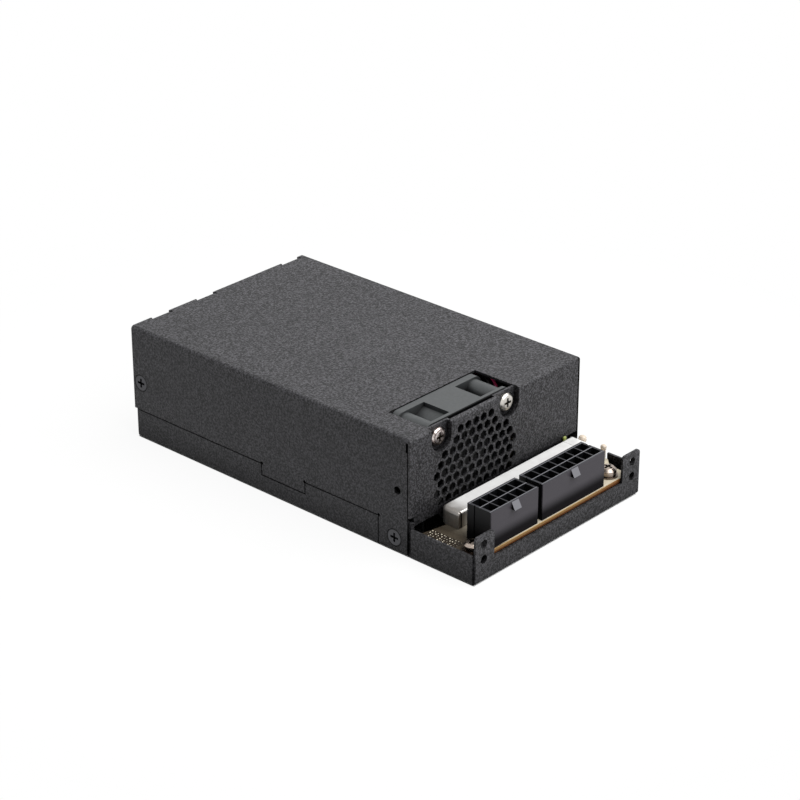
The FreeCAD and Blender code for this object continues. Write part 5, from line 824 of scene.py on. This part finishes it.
THERMISTOR_RADIUS, THERMISTOR_THICK = 0.00075, 0.0008
THERMISTOR_RUN, THERMISTOR_SKIRT, THERMISTOR_BOW = 0.0005, 0.0004, 0.0002
bead_low, bead_high = (np.array(corner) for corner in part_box("thermistor"))
bead_middle = np.append((bead_low[:2] + bead_high[:2]) / 2, bead_high[2] - THERMISTOR_RADIUS)
green_coating = dipped(
    "dipped_green_epoxy", "#6f7a35", "#9aa356", grain_mm=0.8,
    wire_top=bead_middle[2] - THERMISTOR_RADIUS - THERMISTOR_SKIRT,
)
bead_shells = [dipped_disc(bead_middle, (0, 1, 0), THERMISTOR_RADIUS, THERMISTOR_THICK, THERMISTOR_RUN)]
for side in WIRE_SIDES:
    wire_head = bead_middle + (side * THERMISTOR_RADIUS, 0, 0)
    wire_foot = (*wire_head[:2], bead_low[2])
    bead_shells.append(wire(wire_foot, wire_head, (side * THERMISTOR_BOW, 0, 0), WIRE_RADIUS))
thermistor = make_piece("thermistor_bead", green_coating, bead_shells)
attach(thermistor, "case")
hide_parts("thermistor")

# Mains inlet: a three-pole appliance inlet moulded in black nylon, set behind the rear plate.
# Two black oxide screws hold it to the plate.
dress(moulding("black_inlet_moulding", "#131314", "#1f1f21", grain_mm=0.5, roughness=0.42), "inlet_body")
dress(metal("black_oxide_steel", "#3a3a3c", "#545457", grain_mm=0.4, roughness=0.32), "inlet_screws")

# Fan: a square frame moulded in black glass-filled plastic, with a rotor of seven blades on a ground shaft in
# a bronze sleeve, a bonded magnet ring in the cup and a four-arm stator. It is screwed behind the grille.
# The front lip of the frame is painted shade with little gloss, and its deep pockets get painted shade from
# ambient occlusion.
FRAME_MM, FRAME_HEIGHT = 0.8, 0.000015
FRAME_LIP, FRAME_RECESS = 0.0006, 0.006
frame_plastic, tree = empty_material("glass_filled_polyester")
place = node(tree, "ShaderNodeTexCoord")
at = node(tree, "ShaderNodeSeparateXYZ", {0: (place, "Object")})
grain = node(
    tree, "ShaderNodeTexNoise", {"Vector": (place, "Object"), "Scale": 1000 / FRAME_MM, "Detail": 3.0}
)
tone = node(
    tree, "ShaderNodeMix", {0: (grain, 0), 6: linear("#343637"), 7: linear("#484b4c")}, data_type="RGBA"
)
# Painted shade: the lip just behind the grille is painted near black and nearly without gloss.
in_lip = node(
    tree, "ShaderNodeMath", {0: (at, 1), 1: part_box("fan_frame")[0][1] + FRAME_LIP}, operation="LESS_THAN"
)
# Painted shade: ambient occlusion darkens the deep pockets.
recess = node(tree, "ShaderNodeAmbientOcclusion", {"Distance": FRAME_RECESS}, samples=8)
lit_share = node(tree, "ShaderNodeMapRange", {"Value": (recess, "AO"), "From Min": 0.3, "From Max": 0.85})
tone = node(tree, "ShaderNodeMix", {0: (lit_share, 0), 6: linear("#0c0c0d"), 7: (tone, 2)}, data_type="RGBA")
tone = node(tree, "ShaderNodeMix", {0: (in_lip, 0), 6: (tone, 2), 7: linear("#070708")}, data_type="RGBA")
gloss = node(tree, "ShaderNodeMapRange", {"Value": (in_lip, 0), "To Min": 0.5, "To Max": 0.05})
relief = node(tree, "ShaderNodeBump", {"Height": (grain, 0), "Strength": 0.35, "Distance": FRAME_HEIGHT})
surface = node(
    tree, "ShaderNodeBsdfPrincipled",
    {"Base Color": (tone, 2), "Roughness": 0.44, "Specular IOR Level": (gloss, 0), "Normal": (relief, 0)},
)
node(tree, "ShaderNodeOutputMaterial", {"Surface": (surface, 0)})
dress(frame_plastic, "fan_frame")
rotor_plastic = moulding(
    "black_rotor_moulding", "#0b0b0c", "#151516", grain_mm=0.6, roughness=0.45, bump_mm=0.012, gloss=0.25
)
dress(rotor_plastic, "fan_rotor")
shaft = metal("ground_shaft_steel", "#9d9d9d", "#c3c3c3", grain_mm=0.3, roughness=0.2, stretch=(1, 0.1, 1))
dress(shaft, "fan_shaft")
dress(moulding("bonded_ferrite", "#2e2b29", "#41403d", grain_mm=0.3, roughness=0.6), "fan_magnet")
dress(metal("sintered_bronze", "#7d5a32", "#a07a48", grain_mm=0.2, roughness=0.5), "fan_bearing")
stack = metal(
    "stacked_lamination", "#5d5e60", "#838486", grain_mm=0.35, roughness=0.4, stretch=(0.05, 6, 0.05)
)
dress(stack, "fan_stator")

# Fan leads: two thin stranded wires in red and black insulation. They leave the ledge of the fan's right pad,
# bend over under the cover and drop into a natural nylon plug on the main board.
LEAD_DIAMETER = 0.0010
red_route = [
    (0.00895, -0.0422, 0.02765), (0.0103, -0.0422, 0.0386),
    (0.02127, -0.0195, 0.0366), (0.02127, -0.0195, 0.0154),
]
black_route = [
    (0.00895, -0.0392, 0.02765), (0.0103, -0.0392, 0.0386),
    (0.01873, -0.0195, 0.0366), (0.01873, -0.0195, 0.0154),
]


def lead(name, material, route):
    """Smooth line through a route of given control points, as thick as the wire's insulation."""
    curve = bpy.data.curves.new(name, "CURVE")
    curve.dimensions = "3D"
    curve.bevel_depth = LEAD_DIAMETER / 2
    curve.bevel_resolution = 4
    curve.use_fill_caps = True
    spline = curve.splines.new("NURBS")
    spline.points.add(len(route) - 1)
    spline.points.foreach_set("co", np.column_stack([route, np.ones(len(route))]).ravel())
    spline.use_endpoint_u = True
    spline.order_u = 3
    spline.resolution_u = 24
    curve.materials.append(material)
    piece = bpy.data.objects.new(name, curve)
    scene.collection.objects.link(piece)
    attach(piece, "case")
    return piece


red_pvc = moulding("red_pvc_insulation", "#d22860", "#ec4a84", grain_mm=0.8, roughness=0.36)
red_lead = lead("lead_red", red_pvc, red_route)
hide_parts("fan_lead_red")
black_pvc = moulding("black_pvc_insulation", "#121213", "#1f1f20", grain_mm=0.8, roughness=0.36)
black_lead = lead("lead_black", black_pvc, black_route)
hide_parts("fan_lead_black")
dress(moulding("natural_nylon", "#c9c2ae", "#ddd7c6", grain_mm=0.7, roughness=0.4), "fan_plug")

# Cover screws: countersunk steel screws in black oxide, two on each side, which draw the cover down on the
# base. A line of painted shade runs round each head's edge.
OXIDE_MM = 0.4
SUNK_HEAD, HEAD_RIM, RIM_FADE = 0.003, 0.0005, 0.0003
set_low, set_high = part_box("cover_screws")
front_head = (0, set_low[1] + SUNK_HEAD, set_low[2] + SUNK_HEAD)
rear_head = (0, set_high[1] - SUNK_HEAD, set_high[2] - SUNK_HEAD)
blacked, tree = empty_material("black_oxide_countersunk_steel")
place = node(tree, "ShaderNodeTexCoord")
at = node(tree, "ShaderNodeSeparateXYZ", {0: (place, "Object")})
grain = node(
    tree, "ShaderNodeTexNoise", {"Vector": (place, "Object"), "Scale": 1000 / OXIDE_MM, "Detail": 3.0}
)
tone = node(
    tree, "ShaderNodeMix", {0: (grain, 0), 6: linear("#3a3a3c"), 7: linear("#545457")}, data_type="RGBA"
)
beside = node(tree, "ShaderNodeCombineXYZ", {1: (at, 1), 2: (at, 2)})
reach = [
    node(tree, "ShaderNodeVectorMath", {0: (beside, 0), 1: head}, operation="DISTANCE")
    for head in (front_head, rear_head)
]
reach = node(tree, "ShaderNodeMath", {0: (reach[0], "Value"), 1: (reach[1], "Value")}, operation="MINIMUM")
# Painted shade: beyond the head's inner disc it is painted near black, as a shadow line round the head.
rim_shade = node(
    tree, "ShaderNodeMapRange",
    {"Value": (reach, 0), "From Min": SUNK_HEAD - HEAD_RIM, "From Max": SUNK_HEAD - HEAD_RIM + RIM_FADE},
)
tone = node(tree, "ShaderNodeMix", {0: (rim_shade, 0), 6: (tone, 2), 7: linear("#060606")}, data_type="RGBA")
rough = node(tree, "ShaderNodeMapRange", {"Value": (grain, 0), "To Min": 0.26, "To Max": 0.42})
surface = node(
    tree, "ShaderNodeBsdfPrincipled", {"Base Color": (tone, 2), "Metallic": 1.0, "Roughness": (rough, 0)}
)
node(tree, "ShaderNodeOutputMaterial", {"Surface": (surface, 0)})
dress(blacked, "cover_screws")
